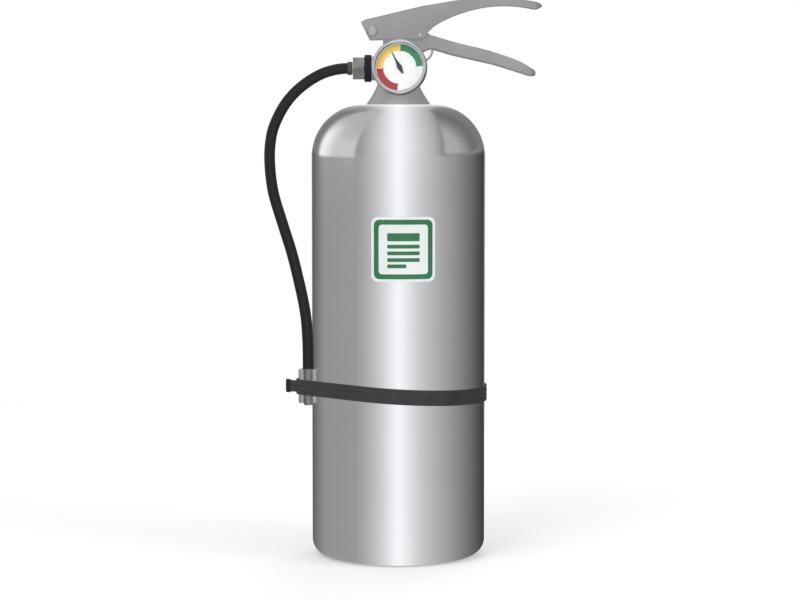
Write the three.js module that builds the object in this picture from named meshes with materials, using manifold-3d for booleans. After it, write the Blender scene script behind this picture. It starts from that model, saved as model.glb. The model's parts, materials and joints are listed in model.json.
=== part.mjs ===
// A portable stored-pressure fire extinguisher with a stainless cylinder, squeeze-grip valve,
// pressure gauge, short discharge hose and a rubber strap that holds the hose end.
// Millimetres, +Z up. The origin is the centre of the foot ring on the floor; the gauge faces -Y,
// the hose leaves towards -X and the handle points to +X.
import * as THREE from "three";
import { mergeVertices } from "three/addons/utils/BufferGeometryUtils.js";
import Module from "manifold-3d";

const wasm = await Module();
wasm.setup();

// ---------------------------------------------------------------- driving dimensions

const clearance = 0.3; // running and seating gap between pieces that don't share a flat face

const cylinder = {
  radius: 80,
  wall: 1.5,
  height: 417, // floor to the flat of the shoulder
  shoulderRadius: 48,
  heelRadius: 14,
  footWidth: 8, // flat ring that stands on the floor
  dishDepth: 10, // hollow under the base
  seamHeight: 155, // girth weld between the two drawn shells
  neckHoleRadius: 18.5,
  segments: 40,
};

const neck = { boreRadius: 15.1, flangeRadius: 22, flangeThickness: 4, standing: 12 };

const collar = { baseRadius: 29.6, topRadius: 19.5, height: 18, wall: 1.6 };

const valve = {
  spigotDepth: 13, // how far the thread reaches into the cylinder
  stepRadius: 16.2,
  stepHeight: 14.4,
  flangeRadius: 19.3,
  flangeThickness: 5,
  bodyRadius: 17,
  bodyTop: 41,
  tongueHalf: 9,
  tongueRear: -14,
  tongueFront: 15,
  chamberRadius: 9.3, // spring chamber
  seatHeight: 21,
  throatRadius: 6,
  throatLength: 6,
  outletChamberRadius: 7,
  outletHeight: 33,
  outletBossRadius: 11,
  outletBossEnd: 24.7,
};

const stem = { radius: 4, neckRadius: 2.6, discRadius: 7.5, discThickness: 2.7, sealThickness: 2 };

const spring = { meanRadius: 5.2, wireRadius: 0.75, turns: 4.5 };

const dipTube = { radius: 6, bore: 4.7, headLength: 8, floorGap: 6.5 };

const pivot = { x: -24, height: 67, pinRadius: 3, headRadius: 5, headThickness: 1.9 };

const handle = { sheet: 2, earRadius: 5.5 };

const lever = { sheet: 2, sideGap: 0.5, travel: 12, rampRise: 0.236, rampAtPivot: 11.9 };

const rivet = { radius: 2, headRadius: 3, headThickness: 1.8, spread: 19, height: 47.5 };

const safetyPin = { radius: 1.6, x: 43.5, z: -3.4, collarRadius: 3.2, eyeRadius: 3.8, eyeHole: 2, eyeThickness: 2.4 };

const pullRing = { radius: 12, wireRadius: 1.1 };

const gauge = {
  x: 2,
  y: -21.5,
  height: 32.5,
  tilt: 9, // the face leans back
  turn: 6, // and looks a little to the hose side
  caseRadius: 23.6,
  caseWall: 1,
  caseDepth: 11.5,
  bezelWidth: 1.1,
  lipRadius: 21.2,
  stemRadius: 4.6,
  stemReach: 9,
  stemBore: 1.1,
  dialHeight: 6.5,
  pointerAngle: 118, // from 3 o'clock, anticlockwise
};

const outlet = {
  ringRadius: 12.5,
  ringLength: 6.5,
  nutAcrossFlats: 20,
  nutLength: 10.5,
  threadRadius: 7,
  bore: 4.2,
  neckRadius: 5.2,
};

const hose = { radius: 5, sides: 10, steps: 32 };

const ferrule = { wall: 0.9, length: 4.6 };

const strap = { thickness: 2.8, height: 14, centreHeight: 155.7, slope: -0.058, tabThickness: 5, tabHeight: 10.6 };

const clip = { innerRadius: 6.4, wall: 2.3, bottom: 146, top: 176.7, opening: 80, angle: 26.7 };

const nozzle = { radius: 6.1, bore: 1.9, bottom: 143.6, shoulder: 149, ferruleLength: 15, barbRadius: 3 };

const label = { side: 58, cornerRadius: 7, x: 4.6, height: 288.2, thickness: 0.45 };

// The hose's centre line, from the outlet down to the nozzle.
const hoseRoute = [
  [-43.3, 0, 450],
  [-50.5, 0, 449.9],
  [-59.5, -0.1, 448.5],
  [-70.2, -0.4, 445.1],
  [-82, -1, 438.6],
  [-93.7, -2, 429.3],
  [-103.1, -3.4, 418.6],
  [-110, -5.2, 406.9],
  [-115.2, -7.5, 394.2],
  [-117.4, -10, 382.5],
  [-118.1, -12.6, 370.9],
  [-117.6, -15.4, 359.2],
  [-116, -18.8, 345.4],
  [-113, -22.2, 331.4],
  [-107.6, -26.3, 314.5],
  [-102.5, -29.8, 299],
  [-97.2, -33.2, 282.5],
  [-91.8, -36.7, 261.8],
  [-86.8, -39.3, 239.7],
  [-83.8, -40.9, 221],
  [-82.5, -41.4, 200],
  [-82.3, -41.4, 184],
  [-82.3, -41.4, 164.8],
];

// ---------------------------------------------------------------- geometry helpers

const quarter = Math.PI / 2;
const radians = THREE.MathUtils.degToRad;

// Merges a three.js geometry's vertices and gives it to manifold-3d as a solid with its faces out.
function toSolid(geometry) {
  const bare = geometry.clone();
  bare.deleteAttribute("normal");
  bare.deleteAttribute("uv");
  const merged = mergeVertices(bare, 1e-4);
  const corners = merged.index.array;
  const kept = [];
  for (let i = 0; i < corners.length; i += 3) {
    const [a, b, c] = corners.slice(i, i + 3);
    if (a !== b && b !== c && c !== a) kept.push(a, b, c);
  }
  const make = (triangles) =>
    new wasm.Manifold(
      new wasm.Mesh({
        numProp: 3,
        vertProperties: merged.attributes.position.array,
        triVerts: new Uint32Array(triangles),
      }),
    );
  const solid = make(kept);
  return solid.volume() < 0 ? make(kept.reverse()) : solid;
}

function toGeometry(solid) {
  const mesh = solid.getMesh();
  const geometry = new THREE.BufferGeometry();
  geometry.setAttribute("position", new THREE.BufferAttribute(mesh.vertProperties, 3));
  geometry.setIndex(new THREE.BufferAttribute(mesh.triVerts, 1));
  geometry.computeVertexNormals();
  return geometry;
}

// A solid of revolution about Z from [radius, z] points; an open profile away from the axis is closed.
function turned(points, segments = 20) {
  const profile = points.map(([r, z]) => new THREE.Vector2(r, z));
  if (points[0][0] > 0) profile.push(profile[0].clone());
  return toSolid(new THREE.LatheGeometry(profile, segments).rotateX(quarter));
}

// A plain round bar along Z.
function bar(radius, low, high, segments = 20) {
  return turned([[0, low], [radius, low], [radius, high], [0, high]], segments);
}

// A tube or washer along Z.
function tube(inner, outer, low, high, segments = 20) {
  return turned([[inner, low], [outer, low], [outer, high], [inner, high]], segments);
}

// A round bar between two points.
function barBetween(from, to, radius, segments = 12) {
  const start = new THREE.Vector3(...from);
  const along = new THREE.Vector3(...to).sub(start);
  const geometry = new THREE.CylinderGeometry(radius, radius, along.length(), segments);
  geometry.translate(0, along.length() / 2, 0);
  const turn = new THREE.Quaternion().setFromUnitVectors(new THREE.Vector3(0, 1, 0), along.normalize());
  geometry.applyQuaternion(turn);
  geometry.translate(...from);
  return toSolid(geometry);
}

function box(low, high) {
  const size = high.map((value, i) => value - low[i]);
  const middle = high.map((value, i) => (value + low[i]) / 2);
  return toSolid(new THREE.BoxGeometry(...size).translate(...middle));
}

// A hexagonal bar along Z, across flats given.
function hexBar(acrossFlats, low, high) {
  const radius = acrossFlats / Math.sqrt(3);
  const geometry = new THREE.CylinderGeometry(radius, radius, high - low, 6).rotateX(quarter);
  return toSolid(geometry.translate(0, 0, (low + high) / 2));
}

// An outline drawn in X and Z, given its width along Y, centred on Y = 0.
function plate(shape, width, curveSegments = 2) {
  const settings = { depth: width, bevelEnabled: false, curveSegments };
  const geometry = new THREE.ExtrudeGeometry(shape, settings).rotateX(quarter);
  return toSolid(geometry.translate(0, width / 2, 0));
}

function ring(radius, wireRadius, sides = 6, steps = 24) {
  return toSolid(new THREE.TorusGeometry(radius, wireRadius, sides, steps));
}

// A round wire or hose along a curve.
function swept(curve, radius, sides, steps) {
  const section = new THREE.Shape();
  for (let i = 0; i < sides; i += 1) {
    const angle = (i / sides) * 2 * Math.PI;
    const point = [radius * Math.cos(angle), radius * Math.sin(angle)];
    if (i === 0) section.moveTo(...point);
    else section.lineTo(...point);
  }
  return toSolid(new THREE.ExtrudeGeometry(section, { steps, bevelEnabled: false, extrudePath: curve }));
}

// Points on a circular arc as [radius, z] pairs, angles in degrees.
function arc(centre, radius, from, to, steps) {
  return Array.from({ length: steps + 1 }, (_, i) => {
    const angle = radians(from + ((to - from) * i) / steps);
    return [centre[0] + radius * Math.cos(angle), centre[1] + radius * Math.sin(angle)];
  });
}

class Helix extends THREE.Curve {
  constructor(radius, low, high, turns) {
    super();
    Object.assign(this, { radius, low, high, turns });
  }
  getPoint(t, target = new THREE.Vector3()) {
    const angle = t * this.turns * 2 * Math.PI;
    const z = this.low + (this.high - this.low) * t;
    return target.set(this.radius * Math.cos(angle), this.radius * Math.sin(angle), z);
  }
}

// ---------------------------------------------------------------- finishes and groups

const finishes = {
  steel: { color: 0xb9babf, roughness: 0.28, metalness: 1 },
  pressedSteel: { color: 0xa9aaad, roughness: 0.42, metalness: 0.9 },
  castAlloy: { color: 0xb4b2b4, roughness: 0.5, metalness: 0.8 },
  brass: { color: 0xb59a5a, roughness: 0.4, metalness: 1 },
  springSteel: { color: 0x8f9196, roughness: 0.35, metalness: 1 },
  blackRubber: { color: 0x2b2b2e, roughness: 0.75, metalness: 0 },
  blackPlastic: { color: 0x26262a, roughness: 0.55, metalness: 0 },
  whitePlastic: { color: 0xe6e6e2, roughness: 0.5, metalness: 0 },
  dialCard: { color: 0xf1f1ee, roughness: 0.6, metalness: 0 },
  pointerPaint: { color: 0x2c2f33, roughness: 0.5, metalness: 0 },
  lens: { color: 0xe9f0f2, roughness: 0.05, metalness: 0, transparent: true, opacity: 0.3 },
  labelVinyl: { color: 0x2f8558, roughness: 0.45, metalness: 0 },
};

const extinguisher = new THREE.Group();

// Everything above the shoulder hangs from the neck plane, so it follows the cylinder's height.
const head = new THREE.Group();
head.position.z = cylinder.height;
extinguisher.add(head);

const grip = new THREE.Group();
grip.position.set(pivot.x, 0, pivot.height);
head.add(grip);

const gaugeGroup = new THREE.Group();
gaugeGroup.position.set(gauge.x, gauge.y, gauge.height);
gaugeGroup.rotation.set(quarter - radians(gauge.tilt), 0, -radians(gauge.turn), "ZXY");
gaugeGroup.updateMatrix();
head.add(gaugeGroup);

// Its local +Z runs out along the hose outlet, towards -X.
const outletGroup = new THREE.Group();
outletGroup.position.z = valve.outletHeight;
outletGroup.rotation.y = -quarter;
outletGroup.updateMatrix();
head.add(outletGroup);

const clipGroup = new THREE.Group();
extinguisher.add(clipGroup);

function add(group, name, finish, solid) {
  const mesh = new THREE.Mesh(toGeometry(solid), new THREE.MeshStandardMaterial(finishes[finish]));
  mesh.name = name;
  group.add(mesh);
}

// Moves a solid from a group's own frame into the frame that the group sits in.
function placed(solid, group) {
  return toSolid(toGeometry(solid).applyMatrix4(group.matrix));
}

// ---------------------------------------------------------------- cylinder

const { radius: shellRadius, wall, heelRadius, shoulderRadius } = cylinder;
const footOuter = shellRadius - heelRadius;
const footInner = footOuter - cylinder.footWidth;

// The hollow under the base, flat where it meets the foot ring and at the centre.
function dish(lift, steps = 4) {
  return Array.from({ length: steps + 1 }, (_, i) => {
    const r = (footInner * i) / steps;
    return [r, lift + (cylinder.dishDepth / 2) * (1 + Math.cos((Math.PI * r) / footInner))];
  });
}

function lowerShell() {
  const heelCentre = [footOuter, heelRadius];
  const outside = [...dish(0), ...arc(heelCentre, heelRadius, -90, 0, 4)];
  const inside = [...dish(wall), ...arc(heelCentre, heelRadius - wall, -90, 0, 4)];
  const profile = [...outside, [shellRadius, cylinder.seamHeight], [shellRadius - wall, cylinder.seamHeight]];
  return turned([...profile, ...inside.reverse()], cylinder.segments);
}

function upperShell() {
  const centre = [shellRadius - shoulderRadius, cylinder.height - shoulderRadius];
  const profile = [
    [shellRadius - wall, cylinder.seamHeight],
    [shellRadius, cylinder.seamHeight],
    ...arc(centre, shoulderRadius, 0, 90, 7),
    [cylinder.neckHoleRadius, cylinder.height],
    [cylinder.neckHoleRadius, cylinder.height - wall],
    ...arc(centre, shoulderRadius - wall, 90, 0, 7),
  ];
  return turned(profile, cylinder.segments);
}

function labelPlate() {
  const half = label.side / 2;
  const r = label.cornerRadius;
  const outline = new THREE.Shape();
  outline.moveTo(-half + r, -half);
  outline.absarc(half - r, -half + r, r, -quarter, 0);
  outline.absarc(half - r, half - r, r, 0, quarter);
  outline.absarc(-half + r, half - r, r, quarter, 2 * quarter);
  outline.absarc(-half + r, -half + r, r, 2 * quarter, 3 * quarter);
  const inner = shellRadius + clearance / 2;
  const skin = tube(inner, inner + label.thickness, -half - r, half + r, cylinder.segments);
  const front = plate(outline, shellRadius, 3).translate([label.x, -shellRadius, 0]);
  return skin.intersect(front).translate([0, 0, label.height]);
}

add(extinguisher, "lower_shell", "steel", lowerShell());
add(extinguisher, "upper_shell", "steel", upperShell());
add(extinguisher, "label_plate", "labelVinyl", labelPlate());

// ---------------------------------------------------------------- neck

function neckRing() {
  const spigot = cylinder.neckHoleRadius - clearance;
  return turned([
    [neck.boreRadius, -wall - neck.flangeThickness],
    [neck.flangeRadius, -wall - neck.flangeThickness],
    [neck.flangeRadius, -wall],
    [spigot, -wall],
    [spigot, neck.standing],
    [neck.boreRadius, neck.standing],
  ]);
}

// A flared skirt: its radius falls as (1 - height)^1.25 from the base to the top.
function neckCollar(steps = 4) {
  const flare = (inset) =>
    Array.from({ length: steps + 1 }, (_, i) => {
      const up = i / steps;
      const r = collar.topRadius + (collar.baseRadius - collar.topRadius) * (1 - up) ** 1.25;
      return [r - inset, collar.height * up];
    });
  return turned([...flare(0), ...flare(collar.wall).reverse()], 28);
}

const sealRoom = valve.stepHeight - neck.standing;
const sealWire = sealRoom / 2 - clearance;
const neckSeal = ring(neck.boreRadius + sealWire, sealWire, 5, 24);

add(head, "neck_ring", "steel", neckRing());
add(head, "neck_collar", "castAlloy", neckCollar());
add(head, "neck_o_ring", "blackRubber", neckSeal.translate([0, 0, neck.standing + sealRoom / 2]));

// ---------------------------------------------------------------- valve body

const stemGuide = stem.radius + clearance;
const gland = { low: pivot.height - 10, high: pivot.height - 7, radius: stemGuide + 2 };
const tongueWidth = 2 * valve.tongueHalf;
const rivetPlaces = [-rivet.spread / 2, rivet.spread / 2];
const portEnd = new THREE.Vector3(0, 0, -gauge.stemReach - 1).applyMatrix4(gaugeGroup.matrix);

function valveBody() {
  const spigot = neck.boreRadius - clearance;
  const flangeTop = collar.height + valve.flangeThickness;
  const outside = turned(
    [
      [0, -valve.spigotDepth],
      [spigot, -valve.spigotDepth],
      [spigot, valve.stepHeight],
      [valve.stepRadius, valve.stepHeight],
      [valve.stepRadius, collar.height],
      [valve.flangeRadius, collar.height],
      [valve.flangeRadius, flangeTop],
      [valve.bodyRadius, flangeTop],
      [valve.bodyRadius, valve.bodyTop],
      [0, valve.bodyTop],
    ],
    32,
  );
  const tongue = box(
    [valve.tongueRear, -valve.tongueHalf, valve.outletHeight],
    [valve.tongueFront, valve.tongueHalf, pivot.height],
  );
  const boss = placed(bar(valve.outletBossRadius, 10, valve.outletBossEnd, 24), outletGroup);
  const throatTop = valve.seatHeight + valve.throatLength;
  const through = turned(
    [
      [0, -valve.spigotDepth - 1],
      [valve.chamberRadius, -valve.spigotDepth - 1],
      [valve.chamberRadius, valve.seatHeight],
      [valve.throatRadius, valve.seatHeight],
      [valve.throatRadius, throatTop],
      [valve.outletChamberRadius, throatTop],
      [valve.outletChamberRadius, valve.bodyTop - 2],
      [stemGuide, valve.bodyTop],
      [stemGuide, gland.low],
      [gland.radius, gland.low],
      [gland.radius, gland.high],
      [stemGuide, gland.high],
      [stemGuide, pivot.height + 1],
      [0, pivot.height + 1],
    ],
    24,
  );
  const outletBore = placed(bar(outlet.threadRadius + clearance, 12, valve.outletBossEnd + 1, 24), outletGroup);
  const outletWay = placed(bar(outlet.bore, 1, 13, 16), outletGroup);
  const gaugePort = placed(bar(gauge.stemRadius + clearance, -gauge.stemReach - 1, 3, 20), gaugeGroup);
  const gaugeWay = barBetween([0, -valve.chamberRadius + 2, valve.seatHeight - 4], portEnd.toArray(), 1.2, 10);
  let body = outside.add(tongue).add(boss).subtract(through).subtract(outletBore).subtract(outletWay);
  body = body.subtract(gaugePort).subtract(gaugeWay);
  for (const x of rivetPlaces) {
    const hole = barBetween([x, -valve.tongueHalf - 1, rivet.height], [x, valve.tongueHalf + 1, rivet.height],
      rivet.radius + clearance);
    body = body.subtract(hole);
  }
  return body;
}

const glandWire = (gland.radius - stemGuide) / 2 - clearance / 2;
const stemSeal = ring(stemGuide + glandWire, glandWire, 5, 18);

add(head, "valve_body", "castAlloy", valveBody());
add(head, "stem_o_ring", "blackRubber", stemSeal.translate([0, 0, (gland.low + gland.high) / 2]));

// ---------------------------------------------------------------- lever and carry handle
// Outlines are drawn in the grip's frame, whose origin is the lever's pivot.

const handleInnerHalf = valve.tongueHalf;
const handleOuterHalf = handleInnerHalf + handle.sheet;
const leverInnerHalf = handleOuterHalf + lever.sideGap;
const leverOuterHalf = leverInnerHalf + lever.sheet;

const rampAngle = Math.atan(lever.rampRise);
const rampAt = (x) => lever.rampAtPivot + lever.rampRise * x;
const leverTop = [[46, rampAt(46)], [65.4, 26], [79.6, 28.3], [94, 29.7], [111, 30.3], [131, 29.5], [145, 27.4]];
const leverUnder = [[51.6, -0.3], [59, 6], [73.2, 13.2], [92.5, 19.6], [111.7, 22.8], [131.4, 22.8], [150.5, 20]];
const vectors = (points, lift = 0) => points.map(([x, z]) => new THREE.Vector2(x, z + lift));

function leverSolid() {
  const outline = new THREE.Shape();
  outline.moveTo(-2.4, -8.2);
  outline.lineTo(47.4, -6.9);
  outline.splineThru(vectors(leverUnder));
  outline.quadraticCurveTo(160, 22.6, 151, 26.2);
  outline.splineThru(vectors(leverTop).reverse());
  outline.lineTo(-4, rampAt(-4));
  outline.quadraticCurveTo(-8.6, rampAt(-8.6), -10.2, 7.6);
  const hollow = new THREE.Shape();
  const webDrop = lever.sheet / Math.cos(rampAngle);
  hollow.moveTo(-20, -20);
  hollow.lineTo(145, -20);
  hollow.lineTo(145, leverTop.at(-1)[1] - webDrop);
  hollow.splineThru(vectors(leverTop, -webDrop).reverse().slice(1));
  hollow.lineTo(-20, rampAt(-20) - webDrop);
  const channel = plate(outline, 2 * leverOuterHalf).subtract(plate(hollow, 2 * leverInnerHalf));
  const reach = leverOuterHalf + 1;
  const pivotHole = barBetween([0, -reach, 0], [0, reach, 0], pivot.pinRadius + clearance);
  const hole = safetyPin.radius + 0.4;
  const pinHole = barBetween([safetyPin.x, -reach, safetyPin.z], [safetyPin.x, 0, safetyPin.z], hole);
  return channel.subtract(pivotHole).subtract(pinHole).subtract(pinSlot(hole));
}

// The slot in the back cheek, an arc about the pivot that lets the lever travel past the pin.
function pinSlot(half) {
  const radius = Math.hypot(safetyPin.x, safetyPin.z);
  const start = Math.atan2(safetyPin.z, safetyPin.x);
  const end = start + radians(lever.travel + 0.5);
  const at = (angle) => [radius * Math.cos(angle), radius * Math.sin(angle)];
  const slot = new THREE.Shape();
  slot.absarc(0, 0, radius + half, start, end, false);
  slot.absarc(...at(end), half, end, end + 2 * quarter, false);
  slot.absarc(0, 0, radius - half, end, start, true);
  slot.absarc(...at(start), half, start + 2 * quarter, start + 4 * quarter, false);
  return plate(slot, leverOuterHalf + 1, 4).translate([0, (leverOuterHalf + 1) / 2, 0]);
}

const cheekBottom = valve.bodyTop - pivot.height + clearance;
const handleUnder = [[46, -19.6], [53, -16.8], [60, -18.2], [73.3, -22.1], [92.6, -26.5], [111.9, -31], [131.2, -36.9],
  [143.2, -40.7]];
const handleTop = [[53, -3.4], [79.7, -11.2], [99, -15.7], [118.3, -21.4], [135.4, -27.8], [149, -35.8]];

function carryHandle() {
  const ear = handle.earRadius;
  const rear = valve.tongueRear - pivot.x;
  const outline = new THREE.Shape();
  outline.moveTo(rear, -8);
  outline.lineTo(rear, cheekBottom + 2);
  outline.lineTo(rear + 2, cheekBottom);
  outline.lineTo(38, cheekBottom);
  outline.splineThru(vectors(handleUnder));
  outline.quadraticCurveTo(152, -43, 149, -35.8);
  outline.splineThru(vectors(handleTop).reverse().slice(1));
  outline.lineTo(46, 2.6);
  outline.lineTo(0, ear);
  outline.absarc(0, 0, ear, quarter, 3 * quarter + 0.4, false);
  const hollow = new THREE.Shape();
  hollow.moveTo(-20, -60);
  hollow.lineTo(45, -60);
  hollow.lineTo(46, handleUnder[0][1] + handle.sheet);
  hollow.splineThru(vectors(handleUnder.slice(1), handle.sheet));
  hollow.lineTo(143.2, 20);
  hollow.lineTo(-20, 20);
  let channel = plate(outline, 2 * handleOuterHalf).subtract(plate(hollow, 2 * handleInnerHalf));
  const holes = [
    [0, 0, pivot.pinRadius + clearance],
    [safetyPin.x, safetyPin.z, safetyPin.radius + 0.4],
    ...rivetPlaces.map((x) => [x - pivot.x, rivet.height - pivot.height, rivet.radius + clearance]),
  ];
  for (const [x, z, radius] of holes) {
    const reach = handleOuterHalf + 1;
    channel = channel.subtract(barBetween([x, -reach, z], [x, reach, z], radius));
  }
  return channel;
}

// A rivet along Y with a low domed head at each end.
function rivetSolid(radius, headRadius, headThickness, grippedHalf) {
  const seat = grippedHalf + clearance;
  const side = (sign) => [
    [radius, sign * seat],
    [headRadius, sign * seat],
    [headRadius * 0.86, sign * (seat + headThickness * 0.65)],
    [headRadius * 0.5, sign * (seat + headThickness)],
    [0, sign * (seat + headThickness)],
  ];
  const solid = turned([...side(-1).reverse(), ...side(1)], 20);
  return solid.rotate([90, 0, 0]);
}

const pivotPin = rivetSolid(pivot.pinRadius, pivot.headRadius, pivot.headThickness, leverOuterHalf);
const handleRivet = rivetSolid(rivet.radius, rivet.headRadius, rivet.headThickness - clearance, handleOuterHalf);

add(grip, "lever", "pressedSteel", leverSolid());
add(grip, "carry_handle", "pressedSteel", carryHandle());
add(grip, "lever_pivot_pin", "steel", pivotPin);
["handle_rivet_rear", "handle_rivet_front"].forEach((name, i) => {
  add(head, name, "steel", handleRivet.translate([rivetPlaces[i], 0, rivet.height]));
});

// ---------------------------------------------------------------- safety pin and pull ring

const pinTip = leverInnerHalf - clearance;
const collarSeat = leverOuterHalf + clearance;
const eyeCentre = collarSeat + 1.4 + safetyPin.eyeRadius - 0.6;

// The pin lies along Y; its flattened eye stands at the back and its front tip stops inside the front cheek.
function safetyPinSolid() {
  const rod = barBetween([0, -pinTip, 0], [0, collarSeat + 1, 0], safetyPin.radius, 14);
  const pinCollar = barBetween([0, collarSeat, 0], [0, collarSeat + 1.4, 0], safetyPin.collarRadius, 18);
  const half = safetyPin.eyeThickness / 2;
  const eye = barBetween([-half, eyeCentre, 0], [half, eyeCentre, 0], safetyPin.eyeRadius, 20);
  const hole = barBetween([-half - 1, eyeCentre, 0], [half + 1, eyeCentre, 0], safetyPin.eyeHole, 14);
  return rod.add(pinCollar).add(eye).subtract(hole);
}

const ringDrop = safetyPin.eyeHole - pullRing.wireRadius - clearance;
const hangingRing = ring(pullRing.radius, pullRing.wireRadius, 6, 28)
  .rotate([90, 0, 0])
  .translate([0, 0, -pullRing.radius - ringDrop]);

add(grip, "safety_pin", "steel", safetyPinSolid().translate([safetyPin.x, 0, safetyPin.z]));
add(grip, "pull_ring", "springSteel", hangingRing.translate([safetyPin.x, eyeCentre, safetyPin.z]));

// ---------------------------------------------------------------- stem, seal, spring and dip tube

const discTop = valve.seatHeight - clearance - stem.sealThickness;
const discBottom = discTop - stem.discThickness;

// The top of the stem is a ball that stands just clear of the sloping web of the lever.
function stemTop() {
  const webHeight = pivot.height + rampAt(-pivot.x) - lever.sheet / Math.cos(rampAngle);
  return webHeight - (stem.radius + clearance) / Math.cos(rampAngle);
}

function valveStem() {
  const shoulder = valve.bodyTop - 3;
  return turned(
    [
      [0, discBottom - 5],
      [3, discBottom - 5],
      [3, discBottom],
      [stem.discRadius, discBottom],
      [stem.discRadius, discTop],
      [stem.neckRadius, discTop],
      [stem.neckRadius, shoulder - 2],
      [stem.radius, shoulder],
      ...arc([0, stemTop()], stem.radius, 0, 80, 4),
      [0, stemTop() + stem.radius],
    ],
    20,
  );
}

const tubeHeadTop = dipTube.headLength - valve.spigotDepth;
const tubeBottom = cylinder.dishDepth + wall + dipTube.floorGap - cylinder.height;

function dipTubeSolid() {
  const headRadius = valve.chamberRadius - clearance;
  return turned(
    [
      [dipTube.bore, tubeBottom],
      [dipTube.radius, tubeBottom],
      [dipTube.radius, -valve.spigotDepth],
      [headRadius, -valve.spigotDepth],
      [headRadius, tubeHeadTop],
      [dipTube.bore, tubeHeadTop],
    ],
    20,
  );
}

// A slotted cup over the lower end of the dip tube.
function strainer() {
  const inner = dipTube.radius + clearance;
  const bottom = tubeBottom - 3.5;
  const cup = turned(
    [
      [0, bottom],
      [inner + 1.7, bottom],
      [inner + 1.7, tubeBottom + 12],
      [inner, tubeBottom + 12],
      [inner, bottom + 1.5],
      [0, bottom + 1.5],
    ],
    20,
  );
  const reach = inner + 3;
  const slots = [
    box([-reach, -1.5, bottom - 1], [reach, 1.5, tubeBottom + 3]),
    box([-1.5, -reach, bottom - 1], [1.5, reach, tubeBottom + 3]),
  ];
  return cup.subtract(slots[0]).subtract(slots[1]);
}

const springLow = tubeHeadTop + clearance + spring.wireRadius;
const springHigh = discBottom - clearance - spring.wireRadius;
const springPath = new Helix(spring.meanRadius, springLow, springHigh, spring.turns);

add(head, "valve_stem", "steel", valveStem());
add(head, "seat_seal", "blackRubber", tube(stem.neckRadius + clearance, stem.discRadius, discTop,
  discTop + stem.sealThickness, 20));
add(head, "return_spring", "springSteel", swept(springPath, spring.wireRadius, 5, 48));
add(head, "dip_tube", "whitePlastic", dipTubeSolid());
add(head, "dip_tube_strainer", "blackPlastic", strainer());

// ---------------------------------------------------------------- pressure gauge
// Drawn with its axis on local Z; z = 0 is the back of the case.

const caseInner = gauge.caseRadius - gauge.caseWall;
const gaugeNeck = 3.6;
const backPlate = 1.2;

function gaugeStem() {
  const stemBody = turned(
    [
      [gauge.stemBore, -gauge.stemReach],
      [gauge.stemRadius, -gauge.stemReach],
      [gauge.stemRadius, -2],
      [gaugeNeck, -2],
      [gaugeNeck, backPlate + 2.2],
      [gauge.stemBore, backPlate + 2.2],
    ],
    20,
  );
  const bore = bar(gauge.stemBore, -5, 0, 20);
  return stemBody.add(hexBar(11, -3.4, -clearance).subtract(bore));
}

function gaugeCase() {
  return turned(
    [
      [gaugeNeck + clearance, 0],
      [gauge.caseRadius - 1.4, 0],
      [gauge.caseRadius, 1.4],
      [gauge.caseRadius, gauge.caseDepth],
      [caseInner, gauge.caseDepth],
      [caseInner, backPlate],
      [gaugeNeck + clearance, backPlate],
    ],
    32,
  );
}

const lensTop = gauge.caseDepth - 0.1;
const lensThickness = 1.4;

function gaugeBezel() {
  const inner = gauge.caseRadius + clearance;
  const outer = inner + gauge.bezelWidth;
  const under = gauge.caseDepth + clearance;
  return turned(
    [
      [inner, 4],
      [outer, 4],
      [outer, under + 0.4],
      [outer - 1.2, under + 1.8],
      [gauge.lipRadius, under + 1.8],
      [gauge.lipRadius, under],
      [inner, under],
    ],
    32,
  );
}

function gaugePointer() {
  const needle = new THREE.Shape();
  const outline = [[0.35, 15.5], [0.9, 3.2], [2.2, 0], [0.9, -3.2], [0.8, -7.5]];
  needle.moveTo(0.35, 15.5);
  outline.slice(1).forEach(([x, y]) => needle.lineTo(x, y));
  [...outline].reverse().forEach(([x, y]) => needle.lineTo(-x, y));
  const geometry = new THREE.ExtrudeGeometry(needle, { depth: 0.6, bevelEnabled: false });
  return toSolid(geometry).rotate([0, 0, gauge.pointerAngle - 90]);
}

const dialTop = gauge.dialHeight + 0.7;
const pointerLift = dialTop + 0.9;
const coilRadius = gaugeNeck + clearance + 0.8;
const coilPath = new Helix(coilRadius, backPlate + 1.1, gauge.dialHeight - 1.1, 2.5);
const spindleLow = backPlate + 2.2 + clearance;

add(gaugeGroup, "gauge_stem", "brass", gaugeStem());
add(gaugeGroup, "gauge_case", "steel", gaugeCase());
add(gaugeGroup, "gauge_bezel", "steel", gaugeBezel());
add(gaugeGroup, "gauge_dial", "dialCard", tube(1.2, caseInner - clearance, gauge.dialHeight, dialTop, 32));
add(gaugeGroup, "gauge_lens", "lens", bar(caseInner - clearance, lensTop - lensThickness, lensTop, 32));
add(gaugeGroup, "bourdon_coil", "brass", swept(coilPath, 0.7, 5, 28));
add(gaugeGroup, "pointer_spindle", "brass", bar(0.8, spindleLow, pointerLift - clearance, 12));
add(gaugeGroup, "gauge_pointer", "pointerPaint", gaugePointer().translate([0, 0, pointerLift]));

// ---------------------------------------------------------------- hose outlet
// Drawn with the outlet's axis on local Z; z is the distance from the valve's own axis.

const ringStart = valve.outletBossEnd;
const nutStart = ringStart + outlet.ringLength;
const nutEnd = nutStart + outlet.nutLength;
const nutBore = outlet.threadRadius + clearance;
const adapterEnd = nutEnd - 4.7;
const nutWall = 1.5;

function outletRing() {
  return tube(nutBore, outlet.ringRadius, ringStart, nutStart, 24);
}

function outletNut() {
  const tailHole = bar(outlet.neckRadius + clearance, nutStart - 1, nutEnd + 1, 20);
  const thread = bar(nutBore, nutStart - 1, nutEnd - nutWall, 24);
  return hexBar(outlet.nutAcrossFlats, nutStart, nutEnd).subtract(thread).subtract(tailHole);
}

const washerStart = adapterEnd + clearance;
const tailStart = washerStart + 1;
const tailEnd = -hoseRoute[0][0] - clearance;

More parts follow.
